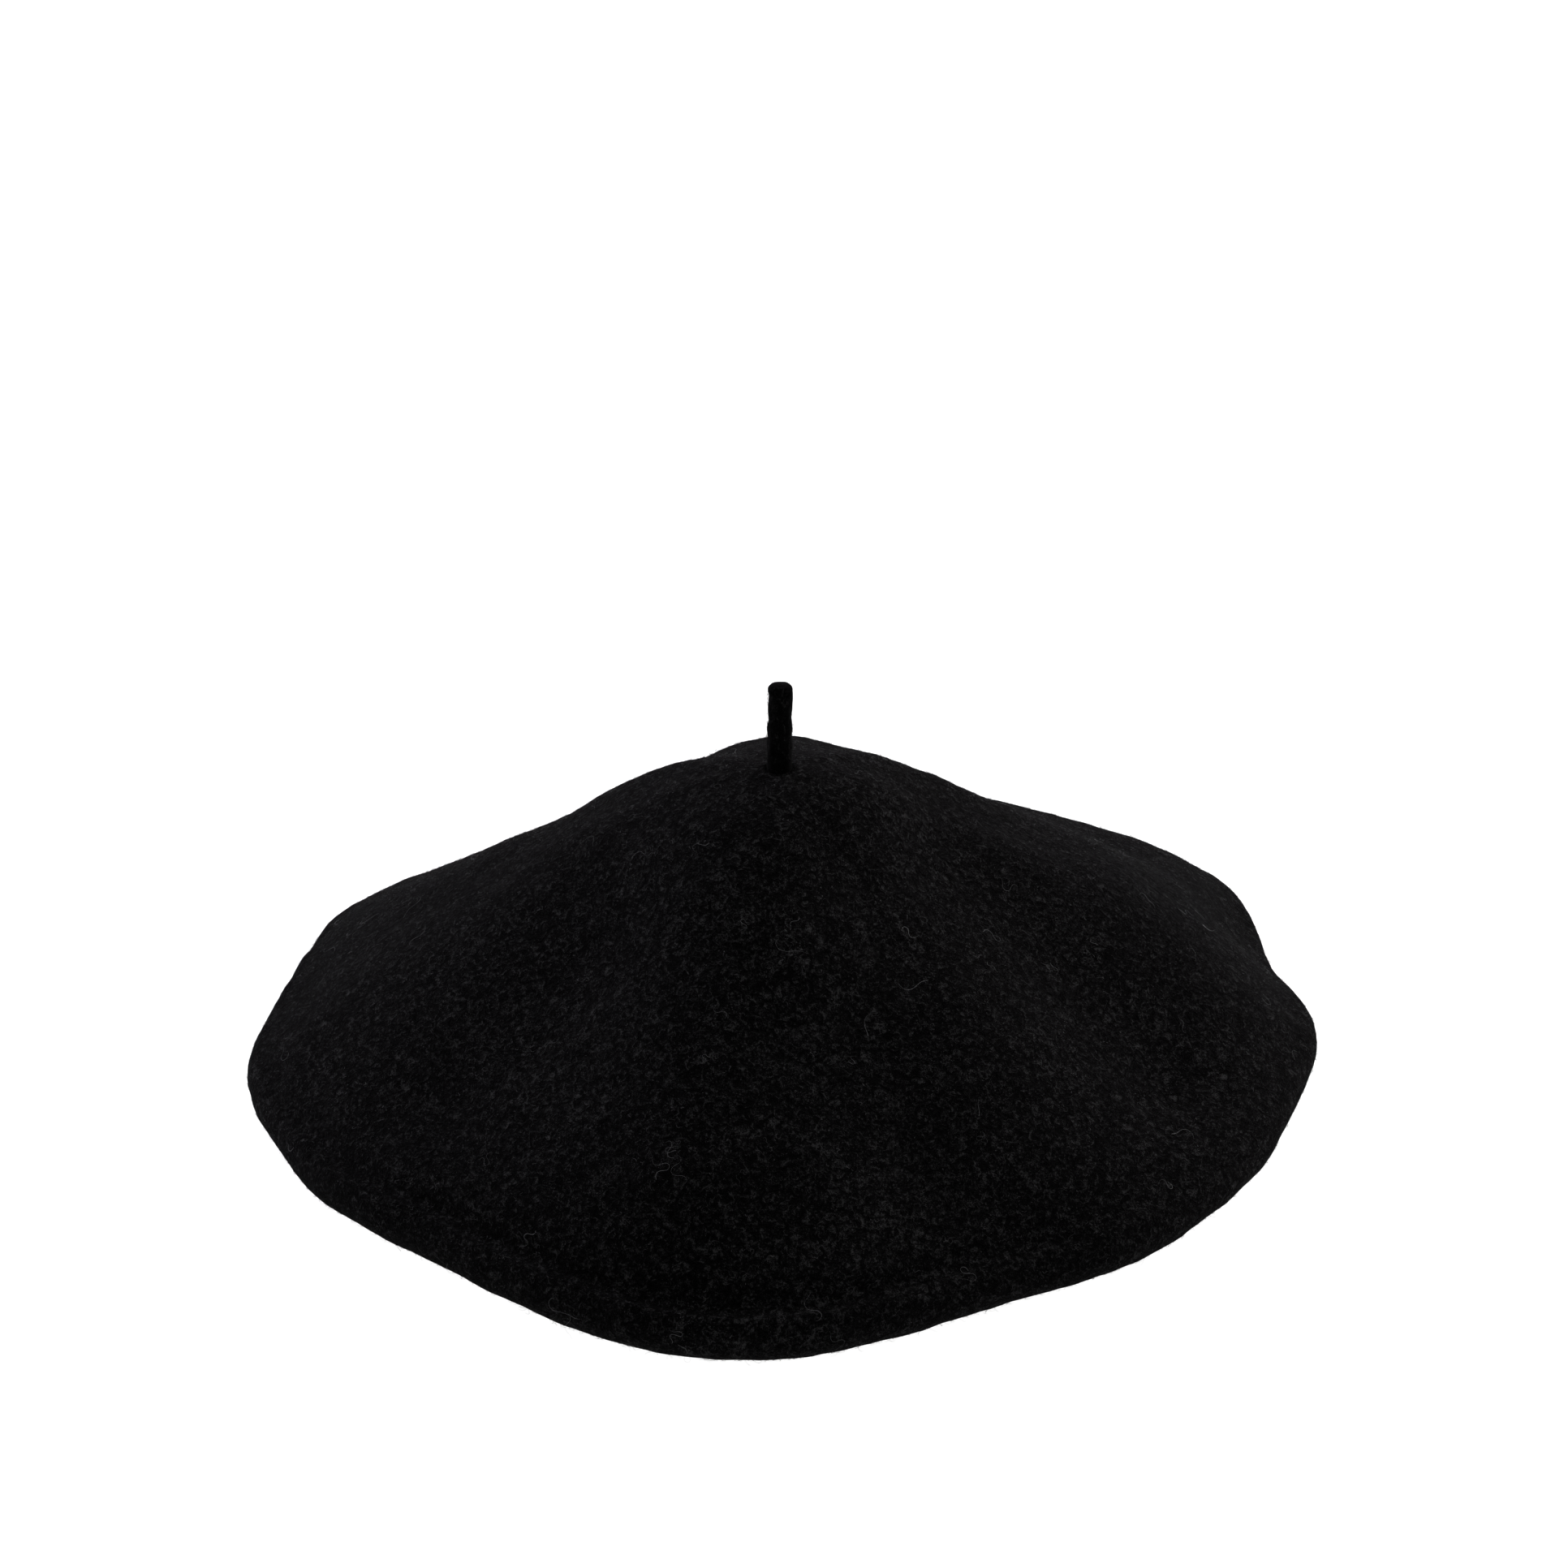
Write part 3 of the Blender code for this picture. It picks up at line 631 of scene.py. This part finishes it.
def surface_roots(rng, count, v_lo, v_hi):
    """Area-weighted random places on the felt's outer face."""
    vs = rng.uniform(v_lo, v_hi, count * 4)
    az = rng.uniform(0, 360, count * 4)
    dv = 0.003
    e1 = (felt_outer(vs + dv, az) - felt_outer(vs - dv, az)) / (2 * dv)
    e2 = (felt_outer(vs, az + 0.3) - felt_outer(vs, az - 0.3)) / 0.6
    w = np.linalg.norm(np.cross(e1, e2), axis=-1)
    keep = rng.uniform(0, 1, count * 4) < w / np.percentile(w, 99)
    vs, az = vs[keep][:count], az[keep][:count]
    P = felt_outer(vs, az)
    N = felt_normal(vs, az)
    P = P + N * surface_relief(P, vs)[..., None]
    return P, N


def curly(rng, P, N, length, curl, lift, m=8):
    """Curled hairs lying along the surface."""
    n = len(P)
    r = rng.normal(size=(n, 3))
    T = r - N * (r * N).sum(-1, keepdims=True)
    T /= np.linalg.norm(T, axis=-1, keepdims=True)
    B = np.cross(N, T)
    t = np.linspace(0, 1, m)[None, :]
    bend = rng.normal(0, 1.0, (n, 1)) * 1.6
    ph = rng.uniform(0, 2 * pi, (n, 1))
    fr = rng.uniform(0.6, 1.7, (n, 1))
    ang = bend * t + curl[:, None] * np.sin(2 * pi * fr * t + ph)
    step = length[:, None] / (m - 1)
    x = np.cumsum(np.cos(ang) * step, 1) - np.cos(ang[:, :1]) * step
    y = np.cumsum(np.sin(ang) * step, 1) - np.sin(ang[:, :1]) * step
    z = -0.05 + lift[:, None] * np.sin(np.minimum(1.0, t * 1.15) * pi * 0.62) \
        - (x ** 2 + y ** 2) * 0.002
    return (P[:, None] + T[:, None] * x[..., None] + B[:, None] * y[..., None]
            + N[:, None] * z[..., None])


def build_fibres():
    out = []
    for i, (seed, count, mat) in enumerate(((11, 4600, FIBRE_GREY), (12, 4600, FIBRE_DARK),
                                            (13, 4600, FIBRE_DARK), (14, 4600, FIBRE_GREY))):
        rng = np.random.RandomState(seed)
        P, N = surface_roots(rng, count, 0.04, 2.1)
        n = len(P)
        length = rng.gamma(5.0, 0.38, n).clip(0.8, 4.6)
        curl = rng.uniform(0.6, 2.2, n)
        lift = rng.gamma(1.6, 0.13, n).clip(0.05, 0.9)
        paths = curly(rng, P, N, length, curl, lift)
        paths[..., 2] = np.maximum(paths[..., 2], 0.05)
        rad = rng.uniform(0.016, 0.034, n)
        obj = fibre_mesh("nap_fibres_%d" % (i + 1), paths, rad, mat)
        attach(obj, BODY)
        out.append(obj)
    # short tight curls that give the nap its fine speckle
    for i, (seed, mat) in enumerate(((21, FIBRE_GREY), (22, FIBRE_GREY), (23, FIBRE_MID))):
        rng = np.random.RandomState(seed)
        P, N = surface_roots(rng, 6500, 0.04, 2.0)
        n = len(P)
        paths = curly(rng, P, N, rng.gamma(4.0, 0.32, n).clip(0.4, 2.8), rng.uniform(0.8, 2.6, n),
                      rng.gamma(1.6, 0.10, n).clip(0.04, 0.5), m=6)
        paths[..., 2] = np.maximum(paths[..., 2], 0.05)
        obj = fibre_mesh("nap_curls_%d" % (i + 1), paths, rng.uniform(0.018, 0.036, n), mat)
        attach(obj, BODY)
        out.append(obj)
    # short standing fuzz that softens the outline
    rng = np.random.RandomState(31)
    P, N = surface_roots(rng, 4600, 0.04, 1.9)
    n = len(P)
    paths = curly(rng, P, N, rng.uniform(0.9, 2.6, n), rng.uniform(0.2, 0.9, n),
                  rng.gamma(2.5, 0.2, n).clip(0.15, 1.2), m=6)
    obj = fibre_mesh("standing_fuzz", paths, rng.uniform(0.014, 0.026, n), FIBRE_DARK)
    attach(obj, BODY)
    out.append(obj)
    # a few long stray hairs
    rng = np.random.RandomState(41)
    P, N = surface_roots(rng, 110, 0.1, 1.5)
    n = len(P)
    paths = curly(rng, P, N, rng.uniform(3.0, 11.0, n), rng.uniform(0.6, 2.0, n),
                  rng.uniform(0.3, 0.8, n), m=22)
    paths[..., 2] = np.maximum(paths[..., 2], 0.05)
    obj = fibre_mesh("stray_hairs", paths, rng.uniform(0.016, 0.030, n), FIBRE_PALE)
    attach(obj, BODY)
    out.append(obj)
    return out


fibres = build_fibres()


# ------------------------------------------------------------------- stem
def stem_radius(z):
    top = STEM_LENGTH - 0.5
    r = STEM_ROOT_R + (STEM_TOP_R - STEM_ROOT_R) * ease(0, 1, z / top)
    return r


def build_stem():
    count, pts = 72, []
    top = STEM_LENGTH - 0.5
    corner = 1.35
    prof = []
    for k in range(1, 9):
        t = -pi / 2 + (pi / 2) * k / 9.0
        prof.append((STEM_ROOT_R * cos(t) * 0.99, STEM_ROOT_R * sin(t)))
    for k in range(64):
        z = (top - corner) * k / 63.0
        prof.append((float(stem_radius(z)), z))
    for k in range(1, 9):
        t = (pi / 2) * k / 9.0
        prof.append((STEM_TOP_R - corner * (1 - cos(t)), top - corner + corner * sin(t) * 0.9))
    prof.append((0.6, top - 0.06))
    a = 2 * pi * np.arange(count) / count
    rings = []
    for r, z in prof:
        p = np.stack([r * np.cos(a), r * np.sin(a), np.full(count, z)], -1)
        n = np.stack([np.cos(a), np.sin(a), 0 * a], -1)
        d = 0.16 * lattice_noise(p, 2.4, 21) + 0.09 * lattice_noise(p, 1.1, 22) \
            + 0.10 * lattice_noise(p * np.array([1, 1, 0.4]), 3.6, 23)
        lean = np.array([0.10, 0.0, 0.0]) * ease(0, top, z) * 2.0
        fade = float(ease(-1.0, 1.5, z))
        p = p + n * (d * fade)[:, None] * min(1.0, r / 1.5) + lean
        rings.append(p + np.array([ROOT_X, ROOT_Y, PIVOT_Z]))
    obj = rings_object("stem_wool", rings, STEM_MAT,
                       start=(ROOT_X, ROOT_Y, PIVOT_Z - STEM_ROOT_R),
                       end=(ROOT_X + 0.2, ROOT_Y, PIVOT_Z + top - 0.02))
    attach(obj, "stem")
    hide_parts("stem")
    # nap of the stem
    rng = np.random.RandomState(51)
    n = 520
    z = rng.uniform(1.2, top - 0.2, n)
    t = rng.uniform(0, 2 * pi, n)
    r = stem_radius(z)
    P = np.stack([ROOT_X + r * np.cos(t), ROOT_Y + r * np.sin(t), PIVOT_Z + z], -1)
    N = np.stack([np.cos(t), np.sin(t), 0 * t], -1)
    paths = curly(rng, P, N, rng.uniform(0.8, 3.0, n), rng.uniform(0.3, 1.2, n),
                  rng.gamma(1.6, 0.1, n).clip(0.03, 0.5), m=7)
    fuzz = fibre_mesh("stem_fuzz", paths, rng.uniform(0.014, 0.028, n), FIBRE_DARK)
    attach(fuzz, "stem")
    return obj


stem = build_stem()


# ----------------------------------------------------------------- lining
def lining_depth(v):
    r = v * (RIM_RADIUS - 3.4)
    return LINING_OFF + 4.6 * (1.0 - ease(6.5, 18.0, r))


def lining_point(v, az, depth):
    return felt_outer(v, az) - felt_normal(v, az) * np.asarray(depth)[..., None]


def build_lining():
    mat = satin("satin_lining_look")
    az = 360.0 * np.arange(240) / 240
    v = 0.03 + (0.462 - 0.03) * (np.arange(40) / 39.0)
    V, A = np.meshgrid(v, az, indexing="ij")
    P = lining_point(V, A, lining_depth(V))
    N = felt_normal(V, A)
    pucker = np.cos(np.radians(A) * 46 + 2.0 * lattice_noise(P, 20.0, 61)) * 0.30 * ease(0.30, 0.455, V)
    d = 0.4 * lattice_noise(P, 16.0, 62) + pucker
    outer = P - N * (0.5 + d)[..., None]
    inner = outer - N * 0.25
    tip = rings_object("lining_tip_satin", np.concatenate([outer, inner[::-1]]), mat,
                       start=outer[0].mean(0), end=inner[0].mean(0))
    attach(tip, BODY)
    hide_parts("lining_tip")
    # side lining, gathered a little at the seam and the opening
    rows = []
    steps = 46
    turn = np.zeros(240) + 0.5
    lo, hi = np.full(240, 0.5), np.full(240, 1.0)
    goal = opening_radius(az) + 4.5
    for _ in range(24):
        mid = (lo + hi) / 2
        q = lining_point(mid, az, np.full(240, LINING_OFF))
        out = np.hypot(q[:, 0], q[:, 1]) < goal
        lo = np.where(out, mid, lo)
        hi = np.where(out, hi, mid)
    turn = lo
    ar = np.radians(az)
    re = opening_radius(az) + 1.9
    foot = np.stack([re * np.cos(ar), re * np.sin(ar), np.full(240, FELT + 0.6)], -1)
    topp = lining_point(turn, az, np.full(240, LINING_OFF + 0.3))
    for k in range(steps):
        s = k / (steps - 1.0)
        if s <= 0.66:
            vv = 0.466 + (turn - 0.466) * s / 0.66
            p = lining_point(vv, az, np.full(240, LINING_OFF + 0.3))
            n = felt_normal(vv, az)
            amp = 0.28 * (1 - ease(0.0, 0.25, s)) + 0.10
        else:
            w = (s - 0.66) / 0.34
            o = 1.0 - w ** 0.75
            p = foot + (topp - foot) * o
            p[:, 2] = topp[:, 2] + (foot[:, 2] - topp[:, 2]) * w
            n = np.stack([np.cos(ar), np.sin(ar), 0 * ar], -1)
            amp = 0.10
        gather = np.cos(ar * 46 + 2.0 * lattice_noise(p, 22.0, 63)) * amp
        d = gather + 0.22 * lattice_noise(p, 14.0, 64)
        rows.append((p, n, d))
    outer = np.array([p - n * (0.12 + d)[:, None] for p, n, d in rows])
    inner = np.array([p - n * (0.36 + d)[:, None] for p, n, d in rows])
    side = rings_object("lining_side_satin", np.concatenate([outer, inner[::-1]]), mat, loop=True)
    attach(side, BODY)
    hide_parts("lining_side")
    return tip, side


lining_tip, lining_side = build_lining()


# ------------------------------------------------------- stitches and band
def tube_path(points, radius, sides=8):
    pts = np.asarray(points, dtype=float)
    d = np.gradient(pts, axis=0)
    d /= np.linalg.norm(d, axis=-1, keepdims=True) + 1e-12
    ref = np.tile(np.array([0.0, 0.0, 1.0]), (len(pts), 1))
    ref[np.abs(d[:, 2]) > 0.9] = (0.0, 1.0, 0.0)
    s = np.cross(d, ref)
    s /= np.linalg.norm(s, axis=-1, keepdims=True) + 1e-12
    u = np.cross(s, d)
    rings = []
    for i in range(len(pts)):
        a = 2 * pi * np.arange(sides) / sides
        rings.append(pts[i] + (s[i][None] * np.cos(a)[:, None]
                               + u[i][None] * np.sin(a)[:, None]) * radius[i])
    return np.array(rings)


def stitch_run(name, segments, radius, mat, body, *nodes):
    """Separate raised stitches, each one a short plump thread."""
    verts, faces = [], []
    for a, b, lift in segments:
        a, b, lift = np.asarray(a), np.asarray(b), np.asarray(lift)
        t = np.linspace(0, 1, 7)
        pts = a[None] * (1 - t)[:, None] + b[None] * t[:, None] + lift[None] * np.sin(pi * t)[:, None]
        rad = radius * (0.45 + 0.55 * np.sin(pi * np.clip(t, 0.06, 0.94)) ** 0.5)
        rings = tube_path(pts, rad, 6)
        base = len(verts)
        verts.extend(rings.reshape(-1, 3).tolist())
        for i in range(6):
            for k in range(6):
                faces.append((base + i * 6 + k, base + i * 6 + (k + 1) % 6,
                              base + (i + 1) * 6 + (k + 1) % 6, base + (i + 1) * 6 + k))
        faces.append(tuple(base + k for k in reversed(range(6))))
        faces.append(tuple(base + 36 + k for k in range(6)))
    obj = mesh_object(name, verts, faces, mat)
    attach(obj, body)
    if nodes:
        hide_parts(*nodes)
    return obj


def band_point(az, depth, z):
    re = opening_radius(az) - (BAND_OFF + depth + 0.06 * np.maximum(0.0, z - 3.0))
    a = np.radians(az)
    z = np.broadcast_to(z, np.shape(re))
    return np.stack([re * np.cos(a), re * np.sin(a), z + 0.0], -1)


def build_band():
    mat = leather()
    gap = degrees(0.25 / OPENING_AY)
    az = np.linspace(90 + gap, 450 - gap, 361)
    zs = [BAND_LOW, 1.2, 2.4, 3.2, 4.2, 6, 8, 10, 12, 14, 16, 18, 19.5, 20.6, BAND_HIGH - 0.25]
    rows = []
    for z in zs:
        rows.append(band_point(az, 0.0, np.full(len(az), z)))
    rows.append(band_point(az, 0.25, np.full(len(az), BAND_HIGH)))
    rows.append(band_point(az, BAND_THICK - 0.25, np.full(len(az), BAND_HIGH)))
    for z in reversed(zs):
        dep = BAND_THICK - (0.28 if 2.6 < z < 3.8 else 0.0)     # pressed in under the stitches
        rows.append(band_point(az, dep, np.full(len(az), z)))
    rows = np.array(rows)
    radial = rows.copy()
    radial[..., 2] = 0
    radial /= np.linalg.norm(radial, axis=-1, keepdims=True)
    wave = 0.35 * lattice_noise(rows, 26.0, 71) * ease(4.0, 20.0, rows[..., 2])
    wave += 0.06 * lattice_noise(rows, 3.0, 72)
    rows = rows - radial * np.abs(wave)[..., None]
    rows[..., 2] += 0.25 * lattice_noise(rows * np.array([1, 1, 0]), 18.0, 73) * ease(15, 21, rows[..., 2])
    R, C = rows.shape[:2]
    faces = []
    for i in range(R):
        i2 = (i + 1) % R
        for j in range(C - 1):
            faces.append((i * C + j, i * C + j + 1, i2 * C + j + 1, i2 * C + j))
    faces.append(tuple(i * C for i in range(R)))
    faces.append(tuple(i * C + C - 1 for i in reversed(range(R))))
    obj = mesh_object("sweatband_leather", rows.reshape(-1, 3), faces, mat, sharp=60)
    bm = bmesh.new()
    bm.from_mesh(obj.data)
    bmesh.ops.recalc_face_normals(bm, faces=bm.faces[:])
    if bm.calc_volume(signed=True) < 0:
        bmesh.ops.reverse_faces(bm, faces=bm.faces[:])
    bm.to_mesh(obj.data)
    bm.free()
    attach(obj, BODY)
    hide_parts("sweatband")
    return obj


def build_threads():
    band_thread = thread("band_thread_look", (0.018, 0.017, 0.016), (0.05, 0.047, 0.044))
    n = 168
    segs = []
    for i in range(n):
        a0, a1 = 360.0 * (i + 0.14) / n + 90, 360.0 * (i + 0.86) / n + 90
        a = band_point(np.array(a0), BAND_THICK + 0.02, 3.2)
        b = band_point(np.array(a1), BAND_THICK + 0.02, 3.2)
        mid = (a + b) / 2
        inward = -np.array([mid[0], mid[1], 0]) / hypot(mid[0], mid[1])
        segs.append((a, b, inward * 0.28))
    stitch_run("sweatband_stitches", segs, 0.27, band_thread, BODY, "sweatband_stitching")
    segs = []
    for i in range(14):
        z0, z1 = 4.6 + i * 0.92, 4.6 + (i + 1) * 0.92
        s = 1.0 if i % 2 else -1.0
        a = band_point(np.array(90 + s * 1.12), BAND_THICK + 0.02, z0)
        b = band_point(np.array(90 - s * 1.12), BAND_THICK + 0.02, z1)
        segs.append((a, b, np.array([0, -0.35, 0])))
    stitch_run("sweatband_joint_zigzag", segs, 0.27, band_thread, BODY, "sweatband_joint_stitching")
    seam = thread("lining_thread_look", (0.014, 0.014, 0.017), (0.034, 0.034, 0.04))
    segs = []
    n = 150
    for i in range(n):
        a0, a1 = 360.0 * (i + 0.12) / n, 360.0 * (i + 0.88) / n
        v = np.array(0.452)
        dep = np.array(LINING_OFF + 1.05)
        a = lining_point(v, np.array(a0), dep)
        b = lining_point(v, np.array(a1), dep)
        nn = -felt_normal(v, np.array((a0 + a1) / 2))
        segs.append((a, b, nn * 0.25))
    stitch_run("lining_seam_stitches", segs, 0.24, seam, BODY, "lining_seam_stitching")
    root = thread("root_thread_look", (0.008, 0.008, 0.009), (0.024, 0.024, 0.026))
    segs = []
    zc = CROWN_TOP - FELT - 3.3 - 0.55
    for i in range(22):
        a0 = 2 * pi * i / 22
        a1 = a0 + 2 * pi * 2.2 / 22
        segs.append(((ROOT_X + 3.9 * cos(a0), ROOT_Y + 3.9 * sin(a0), zc),
                     (ROOT_X + 4.7 * cos(a1), ROOT_Y + 4.7 * sin(a1), zc),
                     np.array([0, 0, -0.2])))
    stitch_run("stem_root_darning", segs, 0.26, root, BODY, "stem_root_stitching")


band = build_band()
build_threads()


# ----------------------------------------------------------------- labels
def label_frame(az):
    p = band_point(np.array(az), BAND_THICK, LABEL_TOP)
    q0 = band_point(np.array(az - 0.5), BAND_THICK, LABEL_TOP)
    q1 = band_point(np.array(az + 0.5), BAND_THICK, LABEL_TOP)
    along = (q1 - q0) / np.linalg.norm(q1 - q0)
    inward = np.cross(np.array([0, 0, 1.0]), along)
    return p, along, inward


def build_label(name, node, tack, az, width, drop, mat, thread_mat, seed):
    p, along, inward = label_frame(az)
    pivot = p + inward * 1.6
    nu, nw = 28, 24
    front, back = [], []
    for iw in range(nw):
        w = iw / (nw - 1.0)
        row_f, row_b = [], []
        for iu in range(nu):
            u = iu / (nu - 1.0)
            x = (u - 0.5) * width
            z = -w * drop
            base = pivot + along * x + np.array([0, 0, z])
            curl = 0.55 * w * w * (2 * u - 1) ** 2 + 0.18 * float(
                lattice_noise(np.array([x, z, seed * 3.0]), 5.0, seed)) * w
            fray = 0.06 * float(lattice_noise(np.array([x * 3, z * 3, 9.0]), 1.0, seed + 1))
            base = base + inward * curl + along * (fray if iu in (0, nu - 1) else 0.0)
            hem = 0.30 if (w < 0.12 or w > 0.9) else 0.19
            row_f.append(base + inward * hem)
            row_b.append(base - inward * 0.19)
        front.append(row_f)
        back.append(row_b)
    F, B = np.array(front), np.array(back)
    verts = np.concatenate([F.reshape(-1, 3), B.reshape(-1, 3)])
    o = nu * nw
    faces = []
    for i in range(nw - 1):
        for j in range(nu - 1):
            a = i * nu + j
            faces.append((a, a + 1, a + nu + 1, a + nu))
            faces.append((o + a, o + a + nu, o + a + nu + 1, o + a + 1))
    for i in range(nw - 1):
        for j in (0, nu - 1):
            a = i * nu + j
            f = (a, a + nu, o + a + nu, o + a)
            faces.append(f if j == 0 else tuple(reversed(f)))
    for j in range(nu - 1):
        for i in (0, nw - 1):
            a = i * nu + j
            f = (a, o + a, o + a + 1, a + 1)
            faces.append(f if i == 0 else tuple(reversed(f)))
    obj = mesh_object(name, verts, faces, mat, sharp=50)
    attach(obj, node)
    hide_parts(node)
    segs = []
    n = int(width / 1.3)
    centre = p + inward * 0.35 + np.array([0, 0, 0.95])
    for i in range(n):
        x0 = -width / 2 + 0.8 + (width - 1.6) * (i + 0.1) / n
        x1 = -width / 2 + 0.8 + (width - 1.6) * (i + 0.9) / n
        segs.append((centre + along * x0, centre + along * x1, inward * 0.3))
    stitch_run(name + "_stitches", segs, 0.24, thread_mat, BODY, tack)
    return obj


label_thread = thread("label_thread_look", (0.34, 0.33, 0.31), (0.58, 0.57, 0.55))
size_label = build_label("size_label_woven", "size_label", "size_label_tack", 76.0, 16.0, 11.0,
                         woven("size_label_look", (0.66, 0.65, 0.61), (0.42, 0.41, 0.39), 1500.0),
                         label_thread, 81)
care_label = build_label("care_label_woven", "care_label", "care_label_tack", 128.0, 14.0, 15.5,
                         woven("care_label_look", (0.72, 0.71, 0.69), (0.5, 0.5, 0.49), 1900.0),
                         label_thread, 91)

# ------------------------------------------------------------ felt meridian points, computed and not used
MERIDIAN_N = 400
_v = np.linspace(0.0, 3.0, MERIDIAN_N)
for _a in range(0, 360, 10):
    _p = felt_outer(_v, np.full(MERIDIAN_N, float(_a)))

# -------------------------------------------------------- floor and light
def floor():
    size, rise, depth = 3.0, 2.6, 2.2
    prof = []
    r = 0.9
    prof.append((-size, 0.0))
    prof.append((depth - r, 0.0))
    for k in range(1, 17):
        t = (pi / 2) * k / 16
        prof.append((depth - r + r * sin(t), r - r * cos(t)))
    prof.append((depth, rise))
    verts, faces = [], []
    for y, z in prof:
        verts += [(-size * 1000, y * 1000, z * 1000 - 0.4), (size * 1000, y * 1000, z * 1000 - 0.4)]
    for i in range(len(prof) - 1):
        faces.append((2 * i, 2 * i + 1, 2 * i + 3, 2 * i + 2))
    n = Nodes("studio_floor")
    n.to("Base Color", n.ramp(n.noise(6.0, 2.0, 0.4), [(0.3, (0.20, 0.20, 0.20)), (0.7, (0.22, 0.22, 0.22))]))
    n.set(Roughness=0.9, Specular_IOR_Level=0.0, Emission_Strength=1.0)
    n.bsdf.inputs["Emission Color"].default_value = (1.0, 1.0, 1.0, 1.0)
    obj = mesh_object("studio_sweep", verts, faces, n.mat)
    return obj


def area_light(name, loc, target, size, power, color=(1, 1, 1), size_y=None):
    data = bpy.data.lights.new(name, "AREA")
    data.shape = "RECTANGLE"
    data.size = size
    data.size_y = size_y or size
    data.energy = power
    data.color = color
    obj = bpy.data.objects.new(name, data)
    obj.location = loc
    d = Vector(target) - Vector(loc)
    obj.rotation_euler = d.to_track_quat("-Z", "Y").to_euler()
    bpy.context.scene.collection.objects.link(obj)
    return obj


ground = floor()
lights = [
    area_light("top_soft", (0.0, 0.25, 1.5), (0, 0, 0.03), 1.6, 20.0),
    area_light("left_back", (-1.1, 0.9, 0.75), (0, 0, 0.05), 0.8, 22.0, (0.86, 0.80, 1.0)),
    area_light("right_back", (1.2, 0.8, 0.7), (0, 0, 0.05), 0.8, 24.0, (1.0, 0.93, 0.95)),
    area_light("front_fill", (0.2, -1.6, 1.1), (0, 0, 0.04), 1.4, 2.5),
]
world = bpy.data.worlds.new("studio_world")
world.use_nodes = True
world.node_tree.nodes["Background"].inputs["Color"].default_value = (1.0, 1.0, 1.0, 1.0)
world.node_tree.nodes["Background"].inputs["Strength"].default_value = 0.34
bpy.context.scene.world = world
bpy.context.scene.view_settings.view_transform = "Standard"
bpy.context.scene.view_settings.look = "None"
bpy.context.scene.view_settings.exposure = 0.0

# ----------------------------------------------------------------- camera
ELEVATION = 32.0            # camera above level, degrees
DISTANCE = 1.2              # metres from the rim's middle
FRAME = 1932.0
PX_PER_MM = 5.45            # at the rim's middle
RIM_ROW = 1299.2            # frame row of the rim's middle
CENTRE = Vector((0.25, -1.87, 10.6)) * MM


def build_camera():
    e = radians(ELEVATION)
    back = Vector((0, -cos(e), sin(e)))
    pos = CENTRE + back * DISTANCE
    f = PX_PER_MM * 1000 * DISTANCE
    low = RIM_ROW - FRAME / 2
    for _ in range(20):
        dip = atan(low / f)
        f = PX_PER_MM * 1000 * DISTANCE * cos(dip)
    pitch = e - dip
    data = bpy.data.cameras.new("camera")
    data.sensor_width = 36.0
    data.lens = f / FRAME * 36.0
    data.clip_start = 0.01
    data.clip_end = 50.0
    cam = bpy.data.objects.new("camera", data)
    cam.location = pos
    cam.rotation_euler = (pi / 2 - pitch, 0.0, 0.0)
    bpy.context.scene.collection.objects.link(cam)
    bpy.context.scene.camera = cam
    return cam


camera = build_camera()

# --------------------------------------------------------------- final update
bpy.context.view_layer.update()
